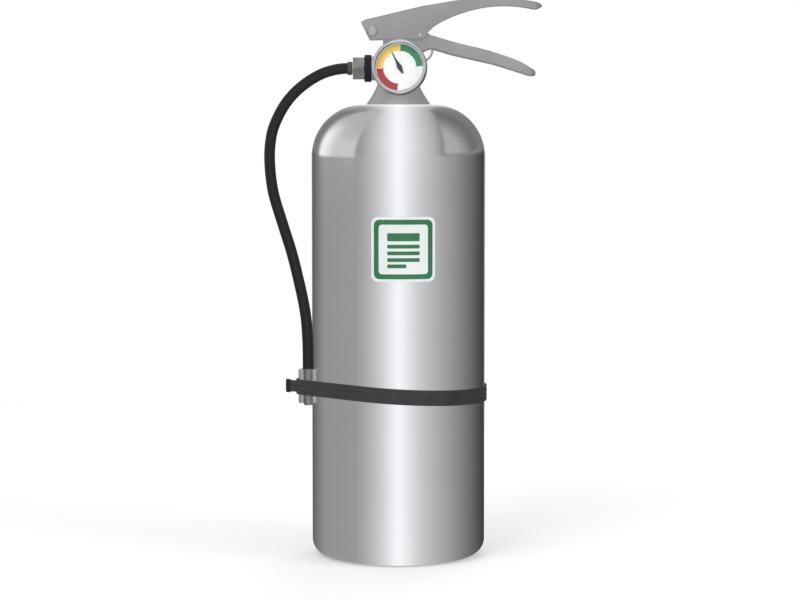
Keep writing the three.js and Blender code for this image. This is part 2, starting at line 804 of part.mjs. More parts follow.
function hoseTail() {
  const flangeEnd = nutEnd - nutWall - clearance;
  return turned(
    [
      [2.6, tailStart],
      [outlet.threadRadius, tailStart],
      [outlet.threadRadius, flangeEnd],
      [outlet.neckRadius, flangeEnd],
      [outlet.neckRadius, nutEnd + 0.3],
      [3.6, nutEnd + 0.3],
      [3.6, tailEnd],
      [2.6, tailEnd],
    ],
    20,
  );
}

const ferruleInner = hose.radius + clearance;
const ferruleStart = nutEnd + 0.6;

add(outletGroup, "outlet_adapter", "brass", tube(outlet.bore, outlet.threadRadius, 13, adapterEnd, 24));
add(outletGroup, "outlet_ring", "blackPlastic", outletRing());
add(outletGroup, "outlet_nut", "steel", outletNut());
add(outletGroup, "outlet_washer", "blackRubber", tube(outlet.bore, outlet.threadRadius, washerStart, tailStart, 20));
add(outletGroup, "hose_tail", "brass", hoseTail());
add(outletGroup, "hose_ferrule", "springSteel", tube(ferruleInner, ferruleInner + ferrule.wall, ferruleStart,
  ferruleStart + ferrule.length, 24));

// ---------------------------------------------------------------- hose

const hoseCurve = new THREE.CatmullRomCurve3(hoseRoute.map((point) => new THREE.Vector3(...point)), false);

add(extinguisher, "hose", "blackRubber", swept(hoseCurve, hose.radius, hose.sides, hose.steps));

// ---------------------------------------------------------------- strap, clip and nozzle

const strapInner = shellRadius + clearance;
const strapOuter = strapInner + strap.thickness;
const clipOuter = clip.innerRadius + clip.wall;
const clipDistance = strapOuter + clearance + clipOuter;
const clipX = -clipDistance * Math.cos(radians(clip.angle));
const clipY = -clipDistance * Math.sin(radians(clip.angle));
clipGroup.position.set(clipX, clipY, 0);

const loopInner = clipOuter + clearance;
const loopOuter = loopInner + strap.thickness;
const tabEnd = loopOuter + 8.5;
const halfTab = strap.tabThickness / 2;

// Lets a level solid follow the strap's slope around the cylinder.
function sloped(solid) {
  const slope = new THREE.Matrix4().set(1, 0, 0, 0, 0, 1, 0, 0, strap.slope, 0, 1, 0, 0, 0, 0, 1);
  return toSolid(toGeometry(solid).applyMatrix4(slope)).translate([0, 0, strap.centreHeight]);
}

function strapSolid() {
  const low = -strap.height / 2;
  const high = strap.height / 2;
  const band = bar(strapOuter, low, high, cylinder.segments);
  const loop = bar(loopOuter, low, high, 24).translate([clipX, clipY, 0]);
  const tab = box([clipX - tabEnd, clipY - halfTab, -strap.tabHeight / 2], [clipX, clipY + halfTab, strap.tabHeight / 2]);
  const inside = bar(strapInner, low - 1, high + 1, cylinder.segments);
  const hole = bar(loopInner, low - 1, high + 1, 24).translate([clipX, clipY, 0]);
  return sloped(band.add(loop).add(tab).subtract(inside).subtract(hole));
}

function strapClasp() {
  const half = [halfTab + clearance, strap.tabHeight / 2 + clearance];
  const start = clipX - tabEnd + 0.3;
  const outer = box([start, clipY - half[0] - 0.9, -half[1] - 0.9], [start + 4, clipY + half[0] + 0.9, half[1] + 0.9]);
  const way = box([start - 1, clipY - half[0], -half[1]], [start + 5, clipY + half[0], half[1]]);
  return sloped(outer.subtract(way));
}

// A spring clip, open to the front, that grips the nozzle.
function hoseClip() {
  const half = radians(clip.opening / 2);
  const reach = clipOuter + 6;
  const wedge = new THREE.Shape();
  wedge.moveTo(0, 0);
  wedge.lineTo(-reach * Math.sin(half), -reach * Math.cos(half));
  wedge.lineTo(reach * Math.sin(half), -reach * Math.cos(half));
  const height = clip.top - clip.bottom + 2;
  const opening = toSolid(new THREE.ExtrudeGeometry(wedge, { depth: height, bevelEnabled: false }));
  return tube(clip.innerRadius, clipOuter, clip.bottom, clip.top, 28).subtract(
    opening.translate([0, 0, clip.bottom - 1]),
  );
}

const hoseEnd = hoseRoute.at(-1)[2];
const nozzleTop = hoseEnd - 3.1;

function nozzleSolid() {
  return turned(
    [
      [nozzle.bore, nozzle.bottom],
      [nozzle.bore + 1.5, nozzle.bottom],
      [nozzle.radius, nozzle.shoulder],
      [nozzle.radius, nozzleTop],
      [nozzle.barbRadius, nozzleTop],
      [nozzle.barbRadius, hoseEnd - clearance],
      [nozzle.bore, hoseEnd - clearance],
    ],
    20,
  );
}

const nozzleFerruleLow = nozzleTop + clearance;

add(extinguisher, "strap", "blackRubber", strapSolid());
add(extinguisher, "strap_clasp", "blackPlastic", strapClasp());
add(clipGroup, "hose_clip", "steel", hoseClip());
add(clipGroup, "nozzle", "castAlloy", nozzleSolid());
add(clipGroup, "nozzle_ferrule", "springSteel", tube(ferruleInner, nozzle.radius, nozzleFerruleLow,
  nozzleFerruleLow + nozzle.ferruleLength, 20));

export default extinguisher;
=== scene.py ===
import json
import math

import bmesh
import bpy
import numpy as np
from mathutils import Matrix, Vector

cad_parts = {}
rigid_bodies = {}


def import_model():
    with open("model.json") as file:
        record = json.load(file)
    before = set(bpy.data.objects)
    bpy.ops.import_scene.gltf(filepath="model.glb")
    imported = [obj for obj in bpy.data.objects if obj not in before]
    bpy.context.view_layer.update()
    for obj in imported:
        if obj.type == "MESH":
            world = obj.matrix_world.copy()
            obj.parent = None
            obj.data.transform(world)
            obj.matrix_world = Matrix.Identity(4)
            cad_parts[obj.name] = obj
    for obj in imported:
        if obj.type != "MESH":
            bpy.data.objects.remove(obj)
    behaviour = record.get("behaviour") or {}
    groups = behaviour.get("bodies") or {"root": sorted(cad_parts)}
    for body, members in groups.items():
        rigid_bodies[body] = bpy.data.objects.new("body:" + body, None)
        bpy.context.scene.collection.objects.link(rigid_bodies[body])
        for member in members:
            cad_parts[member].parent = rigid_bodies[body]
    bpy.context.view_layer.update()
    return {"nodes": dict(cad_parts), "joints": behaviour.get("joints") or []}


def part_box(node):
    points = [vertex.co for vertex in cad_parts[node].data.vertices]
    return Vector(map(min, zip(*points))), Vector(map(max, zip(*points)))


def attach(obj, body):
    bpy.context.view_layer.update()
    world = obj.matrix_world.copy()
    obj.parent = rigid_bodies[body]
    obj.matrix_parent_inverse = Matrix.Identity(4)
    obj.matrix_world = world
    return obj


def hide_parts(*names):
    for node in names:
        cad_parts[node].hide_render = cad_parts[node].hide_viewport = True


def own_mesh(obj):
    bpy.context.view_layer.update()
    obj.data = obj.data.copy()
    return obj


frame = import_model()
print("frame loaded:", len(frame["nodes"]), "nodes")

mm = 0.001
scene = bpy.context.scene
scene.view_settings.view_transform = "Standard"
joints = {joint["name"]: joint for joint in frame["joints"]}


# Camera

cameraSettings = {"place": (0.0015, -2.241, 0.4245), "pitchDown": 4.8, "lens": 109.17, "sensor": 36.0}

cameraData = bpy.data.cameras.new("camera")
cameraData.lens = cameraSettings["lens"]
cameraData.sensor_width = cameraSettings["sensor"]
cameraObject = bpy.data.objects.new("camera", cameraData)
cameraObject.location = cameraSettings["place"]
cameraObject.rotation_euler = (math.radians(90 - cameraSettings["pitchDown"]), 0, 0)
scene.collection.objects.link(cameraObject)
scene.camera = cameraObject
print("camera set")


# Shapes: every surface is a grid of points in millimetres, worked out as whole arrays

upright = np.eye(3)
alongY = np.array([[0, 0, 1], [1, 0, 0], [0, 1, 0]], float)
outletAxes = np.array([[0, 0, 1], [0, 1, 0], [-1, 0, 0]], float)


def gridFaces(rows, columns, wrapRows=False, wrapColumns=True):
    # Each grid cell (i, j) is the quad (i, j), (i, j+1), (i+1, j+1), (i+1, j), with wrapping where asked.
    i = np.arange(rows if wrapRows else rows - 1)[:, None]
    j = np.arange(columns if wrapColumns else columns - 1)[None, :]
    nextI = (i + 1) % rows
    nextJ = (j + 1) % columns
    cells = [i * columns + j, i * columns + nextJ, nextI * columns + nextJ, nextI * columns + j]
    return np.stack(cells, -1).reshape(-1, 4)


def unit(vectors):
    return vectors / np.maximum(np.linalg.norm(vectors, axis=-1, keepdims=True), 1e-12)


def rounded(corners, radius, closed=True, steps=5):
    # A corner P becomes the curve (1-t)^2 A + 2t(1-t) P + t^2 B, with A and B at radius from P on its two sides.
    p = np.asarray(corners, float)
    radius = np.broadcast_to(np.asarray(radius, float), p.shape[:-1]).copy()
    if not closed:
        radius[..., [0, -1]] = 0
    toBefore = np.roll(p, 1, -2) - p
    toAfter = np.roll(p, -1, -2) - p
    reach = 0.48 * np.minimum(np.linalg.norm(toBefore, axis=-1), np.linalg.norm(toAfter, axis=-1))
    r = np.minimum(radius, reach)[..., None]
    start = (p + unit(toBefore) * r)[..., None, :]
    end = (p + unit(toAfter) * r)[..., None, :]
    t = np.linspace(0, 1, steps)[:, None]
    curve = (1 - t) ** 2 * start + 2 * t * (1 - t) * p[..., None, :] + t**2 * end
    return curve.reshape(p.shape[:-2] + (-1, p.shape[-1]))


def throughPoints(points, perSpan=8):
    # The Catmull-Rom cubic through the points, sampled evenly in each span.
    p = np.asarray(points, float)
    padded = np.vstack([2 * p[0] - p[1], p, 2 * p[-1] - p[-2]])
    a, b, c, d = (padded[k : k + len(p) - 1][:, None, :] for k in range(4))
    t = np.linspace(0, 1, perSpan, endpoint=False)[None, :, None]
    curve = 0.5 * (2 * b + (c - a) * t + (2 * a - 5 * b + 4 * c - d) * t**2 + (3 * b - a - 3 * c + d) * t**3)
    return np.vstack([curve.reshape(-1, p.shape[1]), p[-1:]])


def roundAxis(radius, angle, *height):
    # Points at a radius and an angle round an axis, with a height along it where one is given.
    return np.stack(np.broadcast_arrays(radius * np.cos(angle), radius * np.sin(angle), *height), -1)


def circleSection(radius, sides=24):
    return roundAxis(radius, np.linspace(0, 2 * np.pi, sides, endpoint=False))


def boxCorners(halfWide, halfTall):
    return np.array([(-halfWide, -halfTall), (halfWide, -halfTall), (halfWide, halfTall), (-halfWide, halfTall)])


def revolve(profile, segments=96, scallop=None):
    # Point (r, z) of the profile goes to (r cos a, r sin a, z); scallop changes r as a function of a and z.
    angle = np.linspace(0, 2 * np.pi, segments, endpoint=False)[None, :]
    r, z = (np.asarray(profile, float)[:, k][:, None] for k in range(2))
    if scallop:
        r = scallop(r, angle, z)
    return roundAxis(r, angle, z)


def carried(path, section, across=(0, 1, 0), closed=False):
    # Section point (s, t) goes to P + s side + t up, with side = tangent x across and up = side x tangent.
    p = np.asarray(path, float)
    ahead = np.roll(p, -1, 0) - np.roll(p, 1, 0)
    if not closed:
        ahead[0] = p[1] - p[0]
        ahead[-1] = p[-1] - p[-2]
    tangent = unit(ahead)
    side = unit(np.cross(tangent, np.asarray(across, float)))
    up = np.cross(side, tangent)
    s = np.broadcast_to(section, (len(p),) + np.shape(section)[-2:])
    return p[:, None] + s[..., :1] * side[:, None] + s[..., 1:] * up[:, None]


def placedAt(points, origin=(0, 0, 0), axes=upright):
    return points @ np.asarray(axes, float) + np.asarray(origin, float)


def smoothOver(mesh, angle):
    mesh.polygons.foreach_set("use_smooth", np.ones(len(mesh.polygons), bool))
    mesh.set_sharp_from_angle(angle=math.radians(angle))


def tidyMesh(mesh, angle=35):
    # Merges doubled points, turns the faces outwards and marks creases.
    work = bmesh.new()
    work.from_mesh(mesh)
    bmesh.ops.remove_doubles(work, verts=work.verts, dist=2e-7)
    bmesh.ops.dissolve_degenerate(work, edges=work.edges, dist=1e-7)
    bmesh.ops.recalc_face_normals(work, faces=work.faces)
    work.to_mesh(mesh)
    work.free()
    smoothOver(mesh, angle)


def shownObject(name, data):
    shown = bpy.data.objects.new(name, data)
    scene.collection.objects.link(shown)
    return shown


def makePiece(name, grids, angle=35):
    # grids is a list of (points, wrapRows) or (points, wrapRows, wrapColumns); open rows are closed by a cap.
    points = []
    faces = []
    offset = 0
    for grid in grids:
        p, wrapRows, wrapColumns = (tuple(grid) + (True,))[:3]
        rows, columns = p.shape[:2]
        faces += (gridFaces(rows, columns, wrapRows, wrapColumns) + offset).tolist()
        if not wrapRows:
            faces.append((np.arange(columns) + offset).tolist())
            faces.append((np.arange(columns)[::-1] + offset + (rows - 1) * columns).tolist())
        points.append(p.reshape(-1, 3))
        offset += rows * columns
    mesh = bpy.data.meshes.new(name)
    mesh.from_pydata((np.vstack(points) * mm).tolist(), [], faces)
    tidyMesh(mesh, angle)
    return shownObject(name, mesh)


def carve(piece, cutters, angle=35):
    # Takes the cutters away from the piece and drops them.
    for cutter in cutters:
        change = piece.modifiers.new("cut", "BOOLEAN")
        change.object = cutter
        change.operation = "DIFFERENCE"
        change.solver = "EXACT"
    bpy.context.view_layer.update()
    seen = piece.evaluated_get(bpy.context.evaluated_depsgraph_get())
    mesh = bpy.data.meshes.new_from_object(seen)
    piece.modifiers.clear()
    piece.data = mesh
    smoothOver(mesh, angle)
    for cutter in cutters:
        bpy.data.objects.remove(cutter)


def fit(piece, body, material, slotName, *replaced):
    piece.data.materials.clear()
    piece.data.materials.append(material)
    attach(piece, body)
    if replaced:
        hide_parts(*replaced)
    return piece


def turnedPiece(name, profile, origin, axes=upright, closed=True, segments=96, scallop=None, angle=35):
    points = placedAt(revolve(profile, segments, scallop), origin, axes)
    return makePiece(name, [(points, closed)], angle)


# Finishes: each is a shader with noise read from Object coordinates


def newMaterial(name):
    material = bpy.data.materials.new(name)
    material.use_nodes = True
    nodes = material.node_tree.nodes
    return material, nodes, material.node_tree.links, nodes["Principled BSDF"]


def objectNoise(nodes, links, scale, detail=3.0, stretch=(1, 1, 1), source="Object"):
    place = nodes.new("ShaderNodeTexCoord")
    mapping = nodes.new("ShaderNodeMapping")
    mapping.inputs["Scale"].default_value = stretch
    noise = nodes.new("ShaderNodeTexNoise")
    noise.inputs["Scale"].default_value = scale
    noise.inputs["Detail"].default_value = detail
    links.new(place.outputs[source], mapping.inputs["Vector"])
    links.new(mapping.outputs["Vector"], noise.inputs["Vector"])
    return noise.outputs["Fac"]


def spread(nodes, links, value, low, high, fromLow=0.3, fromHigh=0.7):
    ramp = nodes.new("ShaderNodeMapRange")
    for socket, number in (("From Min", fromLow), ("From Max", fromHigh), ("To Min", low), ("To Max", high)):
        ramp.inputs[socket].default_value = number
    links.new(value, ramp.inputs["Value"])
    return ramp.outputs["Result"]


def tinted(nodes, links, value, dark, light):
    ramp = nodes.new("ShaderNodeValToRGB")
    for stop, place, colour in zip(ramp.color_ramp.elements, (0.3, 0.7), (dark, light)):
        stop.position = place
        stop.color = (*colour, 1)
    links.new(value, ramp.inputs["Fac"])
    return ramp.outputs["Color"]


def bumped(nodes, links, shader, value, strength, distance):
    bump = nodes.new("ShaderNodeBump")
    bump.inputs["Strength"].default_value = strength
    bump.inputs["Distance"].default_value = distance
    links.new(value, bump.inputs["Height"])
    links.new(bump.outputs["Normal"], shader.inputs["Normal"])


def grainFinish(name, dark, light, rough, grain, blotch, bump, lift, detail, stretch=(1, 1, 1)):
    # Cloudy tone from wide noise, roughness from fine noise, and a shallow bump from the same grain.
    material, nodes, links, shader = newMaterial(name)
    cloud = objectNoise(nodes, links, blotch, 4.0)
    links.new(tinted(nodes, links, cloud, dark, light), shader.inputs["Base Color"])
    fine = objectNoise(nodes, links, grain, detail, stretch)
    links.new(spread(nodes, links, fine, *rough), shader.inputs["Roughness"])
    bumped(nodes, links, shader, fine, bump, lift)
    return material, shader


def metalFinish(name, dark, light, rough, grain, grainStretch=(1, 1, 1), blotch=22.0, bump=0.03, lift=0.0002,
                metallic=1.0):
    material, shader = grainFinish(name, dark, light, rough, grain, blotch, bump, lift, 5.0, grainStretch)
    shader.inputs["Metallic"].default_value = metallic
    return material


def plainFinish(name, dark, light, rough, grain, blotch=40.0, bump=0.15, lift=0.0002, specular=0.5):
    material, shader = grainFinish(name, dark, light, rough, grain, blotch, bump, lift, 4.0)
    shader.inputs["Specular IOR Level"].default_value = specular
    return material


steelShell = metalFinish("satinStainless", (0.76, 0.76, 0.775), (0.80, 0.80, 0.81), (0.10, 0.15), 900,
                         (0.06, 0.06, 1), 9, 0.012, 0.0001)
castAlloy = metalFinish("blastedAlloy", (0.43, 0.415, 0.43), (0.52, 0.505, 0.52), (0.42, 0.54), 2600, bump=0.12,
                        metallic=0.55)
pressedSteel = metalFinish("brushedPressing", (0.30, 0.30, 0.305), (0.37, 0.37, 0.375), (0.38, 0.5), 1500,
                           (0.08, 1, 1), 30, 0.05, metallic=0.7)
nutSteel = metalFinish("nutSteel", (0.20, 0.20, 0.205), (0.30, 0.30, 0.305), (0.3, 0.42), 1700, blotch=90)
rivetSteel = metalFinish("rivetSteel", (0.40, 0.40, 0.41), (0.50, 0.50, 0.51), (0.34, 0.46), 1500, blotch=90,
                         metallic=0.8)
platedSteel = metalFinish("zincPlate", (0.62, 0.62, 0.64), (0.74, 0.74, 0.75), (0.2, 0.34), 1200, blotch=60)
wireSteel = metalFinish("drawnWire", (0.45, 0.46, 0.47), (0.56, 0.57, 0.58), (0.22, 0.35), 1800, blotch=80)
rimSteel = metalFinish("satinRim", (0.58, 0.57, 0.58), (0.66, 0.65, 0.66), (0.24, 0.34), 2200, blotch=70)
darkMetal = metalFinish("blackenedCrimp", (0.10, 0.10, 0.11), (0.17, 0.17, 0.18), (0.3, 0.45), 2000, blotch=90)
nozzleMetal = metalFinish("darkAnodised", (0.20, 0.20, 0.21), (0.27, 0.27, 0.28), (0.3, 0.42), 2400, blotch=90)
brass = metalFinish("turnedBrass", (0.52, 0.36, 0.14), (0.66, 0.48, 0.22), (0.25, 0.4), 1500, (1, 1, 0.2), 60)
rubber = plainFinish("strapRubber", (0.020, 0.021, 0.022), (0.032, 0.033, 0.034), (0.5, 0.66), 2600, 70, 0.3)
sealRubber = plainFinish("sealRubber", (0.016, 0.016, 0.018), (0.03, 0.03, 0.032), (0.4, 0.6), 2600)
blackPlastic = plainFinish("mouldedBlack", (0.005, 0.005, 0.006), (0.011, 0.011, 0.012), (0.45, 0.6), 3000, 60, 0.2,
                           specular=0.3)
whitePlastic = plainFinish("naturalTube", (0.70, 0.70, 0.67), (0.80, 0.80, 0.77), (0.3, 0.45), 1500)
cardWhite = plainFinish("dialCard", (0.83, 0.83, 0.82), (0.88, 0.88, 0.87), (0.45, 0.6), 3000, 90, 0.05)
pointerPaint = plainFinish("pointerPaint", (0.012, 0.014, 0.018), (0.03, 0.034, 0.04), (0.35, 0.5), 3000, 300, 0.05)
labelGreen = plainFinish("labelGreen", (0.010, 0.150, 0.052), (0.016, 0.180, 0.064), (0.3, 0.42), 2600, 50, 0.06)
labelPale = plainFinish("labelPale", (0.76, 0.80, 0.77), (0.84, 0.87, 0.85), (0.3, 0.42), 2600, 50, 0.06)


def hoseFinish():
    # The cover's fine wrap marks follow the tube: U runs round it and V along it in metres.
    material, nodes, links, shader = newMaterial("hoseCover")
    wrap = objectNoise(nodes, links, 900, 4.0, (0.05, 1, 1), "UV")
    links.new(tinted(nodes, links, wrap, (0.003, 0.003, 0.004), (0.008, 0.008, 0.009)), shader.inputs["Base Color"])
    shader.inputs["Specular IOR Level"].default_value = 0.34
    links.new(spread(nodes, links, wrap, 0.34, 0.5), shader.inputs["Roughness"])
    bumped(nodes, links, shader, wrap, 0.12, 0.0002)
    return material


def lensFinish():
    material, nodes, links, shader = newMaterial("clearLens")
    shader.inputs["Base Color"].default_value = (0.97, 0.98, 0.98, 1)
    shader.inputs["Transmission Weight"].default_value = 1.0
    shader.inputs["IOR"].default_value = 1.25
    haze = objectNoise(nodes, links, 700, 3.0)
    links.new(spread(nodes, links, haze, 0.0, 0.025), shader.inputs["Roughness"])
    return material


def zoneFinish():
    # Printed colours carried by the zone attribute, with a light print grain.
    material, nodes, links, shader = newMaterial("dialZones")
    colour = nodes.new("ShaderNodeAttribute")
    colour.attribute_name = "zone"
    links.new(colour.outputs["Color"], shader.inputs["Base Color"])
    grain = objectNoise(nodes, links, 3200, 3.0)
    links.new(spread(nodes, links, grain, 0.42, 0.58), shader.inputs["Roughness"])
    return material


hoseCover = hoseFinish()
clearLens = lensFinish()
zonePrint = zoneFinish()
print("finishes made")


# Hose: a round tube along the route, the same points as the frame's

hoseSettings = {"radius": 5.0, "sides": 28, "perSpan": 6}
hoseRoute = [
    (-43.3, 0, 450), (-50.5, 0, 449.9), (-59.5, -0.1, 448.5), (-70.2, -0.4, 445.1), (-82, -1, 438.6),
    (-93.7, -2, 429.3), (-103.1, -3.4, 418.6), (-110, -5.2, 406.9), (-115.2, -7.5, 394.2), (-117.4, -10, 382.5),
    (-118.1, -12.6, 370.9), (-117.6, -15.4, 359.2), (-116, -18.8, 345.4), (-113, -22.2, 331.4), (-107.6, -26.3, 314.5),
    (-102.5, -29.8, 299), (-97.2, -33.2, 282.5), (-91.8, -36.7, 261.8), (-86.8, -39.3, 239.7), (-83.8, -40.9, 221),
    (-82.5, -41.4, 200), (-82.3, -41.4, 184), (-82.3, -41.4, 164.8),
]


def hosePiece():
    path = throughPoints(hoseRoute, hoseSettings["perSpan"])
    section = circleSection(hoseSettings["radius"], hoseSettings["sides"])
    points = carried(path, section)
    piece = makePiece("hoseTube", [(points, False)], 60)
    along = np.concatenate([[0], np.cumsum(np.linalg.norm(np.diff(path, axis=0), axis=1))]) * mm
    mesh = piece.data
    corner = np.empty(len(mesh.loops), int)
    mesh.loops.foreach_get("vertex_index", corner)
    count = hoseSettings["sides"]
    u = (corner % count) / count * 2 * np.pi * hoseSettings["radius"] * mm
    v = along[np.minimum(corner // count, len(along) - 1)]
    mesh.uv_layers.new(name="wrap").data.foreach_set("uv", np.stack([u, v], -1).ravel())
    return fit(piece, "vessel", hoseCover, "hose_rubber", "hose"), path


hoseObject, hosePath = hosePiece()
print("hose made")


# Cylinder: two drawn shells, each a profile turned about the upright axis

cylinderSettings = {"wall": 1.5, "heel": 14.0, "shoulder": 48.0, "footWidth": 8.0, "dish": 10.0, "neckHole": 18.5}
lowHigh, upHigh = (np.array(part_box(node)[1]) / mm for node in ("lower_shell", "upper_shell"))
shellRadius = float(lowHigh[0])
seamZ = float(lowHigh[2])
shoulderZ = float(upHigh[2])


def arcPoints(centre, radius, start, end, steps):
    return roundAxis(radius, np.radians(np.linspace(start, end, steps))) + centre


def lowerShellPiece():
    s = cylinderSettings
    footOuter = shellRadius - s["heel"]
    footInner = footOuter - s["footWidth"]
    r = np.linspace(0, footInner, 30)
    dish = np.stack([r, s["dish"] / 2 * (1 + np.cos(np.pi * r / footInner))], -1)
    centre = (footOuter, s["heel"])
    outside = np.vstack([dish, arcPoints(centre, s["heel"], -90, 0, 22), [[shellRadius, seamZ - 0.05]]])
    inside = np.vstack([
        [[shellRadius - s["wall"], seamZ - 0.05]],
        arcPoints(centre, s["heel"] - s["wall"], 0, -90, 14),
        dish[::-1] + [0, s["wall"]],
    ])
    profile = np.vstack([outside, inside])
    return turnedPiece("lowerShellSkin", profile, (0, 0, 0), closed=False, segments=192, angle=50)


def upperShellPiece():
    s = cylinderSettings
    centre = (shellRadius - s["shoulder"], shoulderZ - s["shoulder"])
    profile = np.vstack([
        [[shellRadius - s["wall"], seamZ + 0.05], [shellRadius, seamZ + 0.05]],
        arcPoints(centre, s["shoulder"], 0, 90, 48),
        [[s["neckHole"], shoulderZ], [s["neckHole"], shoulderZ - s["wall"]]],
        arcPoints(centre, s["shoulder"] - s["wall"], 90, 0, 24),
    ])
    return turnedPiece("upperShellSkin", profile, (0, 0, 0), segments=192, angle=50)


fit(lowerShellPiece(), "vessel", steelShell, "stainless", "lower_shell")
fit(upperShellPiece(), "vessel", steelShell, "stainless", "upper_shell")
print("cylinder made")


# Label: rounded patches that follow the cylinder, one over the other

labelSettings = {"centreX": 4.6, "centreZ": 288.2, "side": 58.0, "corner": 7.0, "rim": 2.4, "border": 4.4}


def skinPatch(name, centreX, centreZ, halfWide, halfTall, corner, low, high):
    # Rings of a rounded rectangle, shrunk to its middle, are wrapped so that x is arc length round the cylinder.
    outline = rounded(boxCorners(halfWide, halfTall), corner, True, 12)
    edges = np.linspace(0, 1, 24, endpoint=False)[:, None, None]
    nextOnes = np.roll(outline, -1, 0)
    outline = (outline + edges * (nextOnes - outline)).transpose(1, 0, 2)[:, ::4].reshape(-1, 2)
    scale = np.linspace(0, 1, 9)[:, None, None]
    flat = outline[None] * scale
    angle = (centreX + flat[..., 0]) / shellRadius
    z = centreZ + flat[..., 1]
    layer = lambda r: np.stack([r * np.sin(angle), -r * np.cos(angle), z], -1)
    points = np.concatenate([layer(high), layer(low)[::-1]])
    return makePiece(name, [(points, False)], 50)


def labelPieces():
    s = labelSettings
    half = s["side"] / 2
    x, z = s["centreX"], s["centreZ"]
    base = shellRadius + 0.15
    fit(skinPatch("labelBase", x, z, half, half, s["corner"], base, base + 0.30), "vessel", labelPale, "label",
        "label_plate")
    half -= s["rim"]
    border = skinPatch("labelBorder", x, z, half, half, s["corner"] - 1.4, base + 0.28, base + 0.36)
    fit(border, "vessel", labelGreen, "label")
    half -= s["border"]
    fit(skinPatch("labelField", x, z, half, half, 3.4, base + 0.34, base + 0.41), "vessel", labelPale, "label")
    rows = [(11.0, 14.5, 3.6), (2.6, 14.5, 1.7), (-3.4, 14.5, 1.7), (-9.4, 14.5, 1.7), (-15.0, 8.5, 1.7)]
    for k, (up, halfWide, halfTall) in enumerate(rows):
        shift = halfWide - rows[0][1]
        bar = skinPatch(f"labelBar{k}", x + shift, z + up, halfWide, halfTall, 1.0, base + 0.40, base + 0.45)
        fit(bar, "vessel", labelGreen, "label")


labelPieces()
print("label made")


# Neck collar: a flared skirt whose radius falls as (1 - height)^1.25

collarSettings = {"baseRadius": 29.6, "topRadius": 19.5, "height": 18.0, "wall": 1.6}


def collarPiece():
    s = collarSettings
    up = np.linspace(0, 1, 26)
    r = s["topRadius"] + (s["baseRadius"] - s["topRadius"]) * (1 - up) ** 1.25
    outside = np.stack([r, shoulderZ + s["height"] * up], -1)
    profile = np.vstack([outside, outside[::-1] - [s["wall"], 0]])
    return turnedPiece("neckSkirt", profile, (0, 0, 0), segments=128)


fit(collarPiece(), "vessel", castAlloy, "cast_alloy", "neck_collar")


# Valve body and inner pieces: merged copies of the frame's solids with softened edges


def softenedCopy(node, name, width, segments=2, angle=38):
    source = frame["nodes"][node]
    mesh = source.data.copy()
    mesh.name = name
    tidyMesh(mesh, angle)
    piece = shownObject(name, mesh)
    bevel = piece.modifiers.new("edges", "BEVEL")
    bevel.width = width * mm
    bevel.segments = segments
    bevel.limit_method = "ANGLE"
    bevel.angle_limit = math.radians(40)
    bevel.harden_normals = True
    return piece


fit(softenedCopy("valve_body", "valveCasting", 0.5, 3), "vessel", castAlloy, "cast_alloy", "valve_body")
fit(softenedCopy("neck_ring", "neckRingTurned", 0.3), "vessel", steelShell, "stainless", "neck_ring")
print("neck and valve made")


# Lever: a pressed channel whose section changes along its length

pivot = np.array(joints["lever_squeeze"]["pos_m"]) / mm
leverSettings = {"halfWidth": 13.5, "sheet": 2.0, "bend": 3.8, "edge": 0.5, "rampRise": 0.236, "rampAtPivot": 11.9}
leverTop = [(46, 22.756), (65.4, 26), (79.6, 28.3), (94, 29.7), (111, 30.3), (131, 29.5), (145, 27.4), (151, 26.2)]
leverUnder = [(51.6, -0.3), (59, 6), (73.2, 13.2), (92.5, 19.6), (111.7, 22.8), (131.4, 22.8), (150.5, 20)]
leverNose = [(150.5, 20), (160, 22.6), (151, 26.2)]


def quadratic(a, b, c, start, end, steps=10):
    t = np.linspace(start, end, steps)[:, None]
    a, b, c = (np.asarray(p, float) for p in (a, b, c))
    return (1 - t) ** 2 * a + 2 * t * (1 - t) * b + t**2 * c


def heightsAt(x, line):
    line = np.asarray(line)
    return np.interp(x, line[:, 0], line[:, 1])


def sectionsAlong(x, corners, radii, steps=6):
    # One rounded outline at each x, from corners that change along the length.
    outline = np.stack([np.stack(np.broadcast_arrays(a, b), -1) for a, b in corners], 1)
    section = rounded(outline, radii, True, steps)
    points = np.stack([np.broadcast_to(x[:, None], section.shape[:2]), section[..., 0], section[..., 1]], -1)
    return placedAt(points, pivot)


def leverPiece():
    s = leverSettings
    ramp = lambda x: s["rampAtPivot"] + s["rampRise"] * x
    rear = quadratic((-10.2, 7.6), (-8.6, ramp(-8.6)), (-4, ramp(-4)), 0, 1)
    noseTip = 0.5135
    top = np.vstack([rear, throughPoints(leverTop), quadratic(*leverNose[::-1], 0, 1 - noseTip)[1:]])
    under = np.vstack([[(-10.2, 7.6), (-2.4, -8.2), (47.4, -6.9)], throughPoints(leverUnder),
                       quadratic(*leverNose, 0, noseTip)[1:]])
    ends = [-10.2 + 14 * np.linspace(0, 1, 20) ** 2, np.linspace(4, 46, 20), np.linspace(46.8, 60, 18),
            np.linspace(61, 144, 50), 155.36 - 11 * np.linspace(1, 0, 24) ** 2]
    x = np.concatenate(ends)
    high, low = heightsAt(x, top), heightsAt(x, under)
    low = np.minimum(low, high - 0.02)
    hollow = np.clip((146 - x) / 3, 0, 1)
    inner = np.maximum(low, low + (high - s["sheet"] - low) * hollow)
    tip = np.clip((x - 147) / 8.4, 0, 1)
    wide = s["halfWidth"] * np.sqrt(1 - 0.55 * tip**2.4)
    slim = wide - s["sheet"]
    corners = [(-wide, low), (-wide, high), (wide, high), (wide, low),
               (slim, low), (slim, inner), (-slim, inner), (-slim, low)]
    edge, bend = s["edge"], s["bend"]
    points = sectionsAlong(x, corners, [edge, bend, bend, edge, edge, 1.9, 1.9, edge], 9)
    return makePiece("leverPressing", [(points, False)], 45)


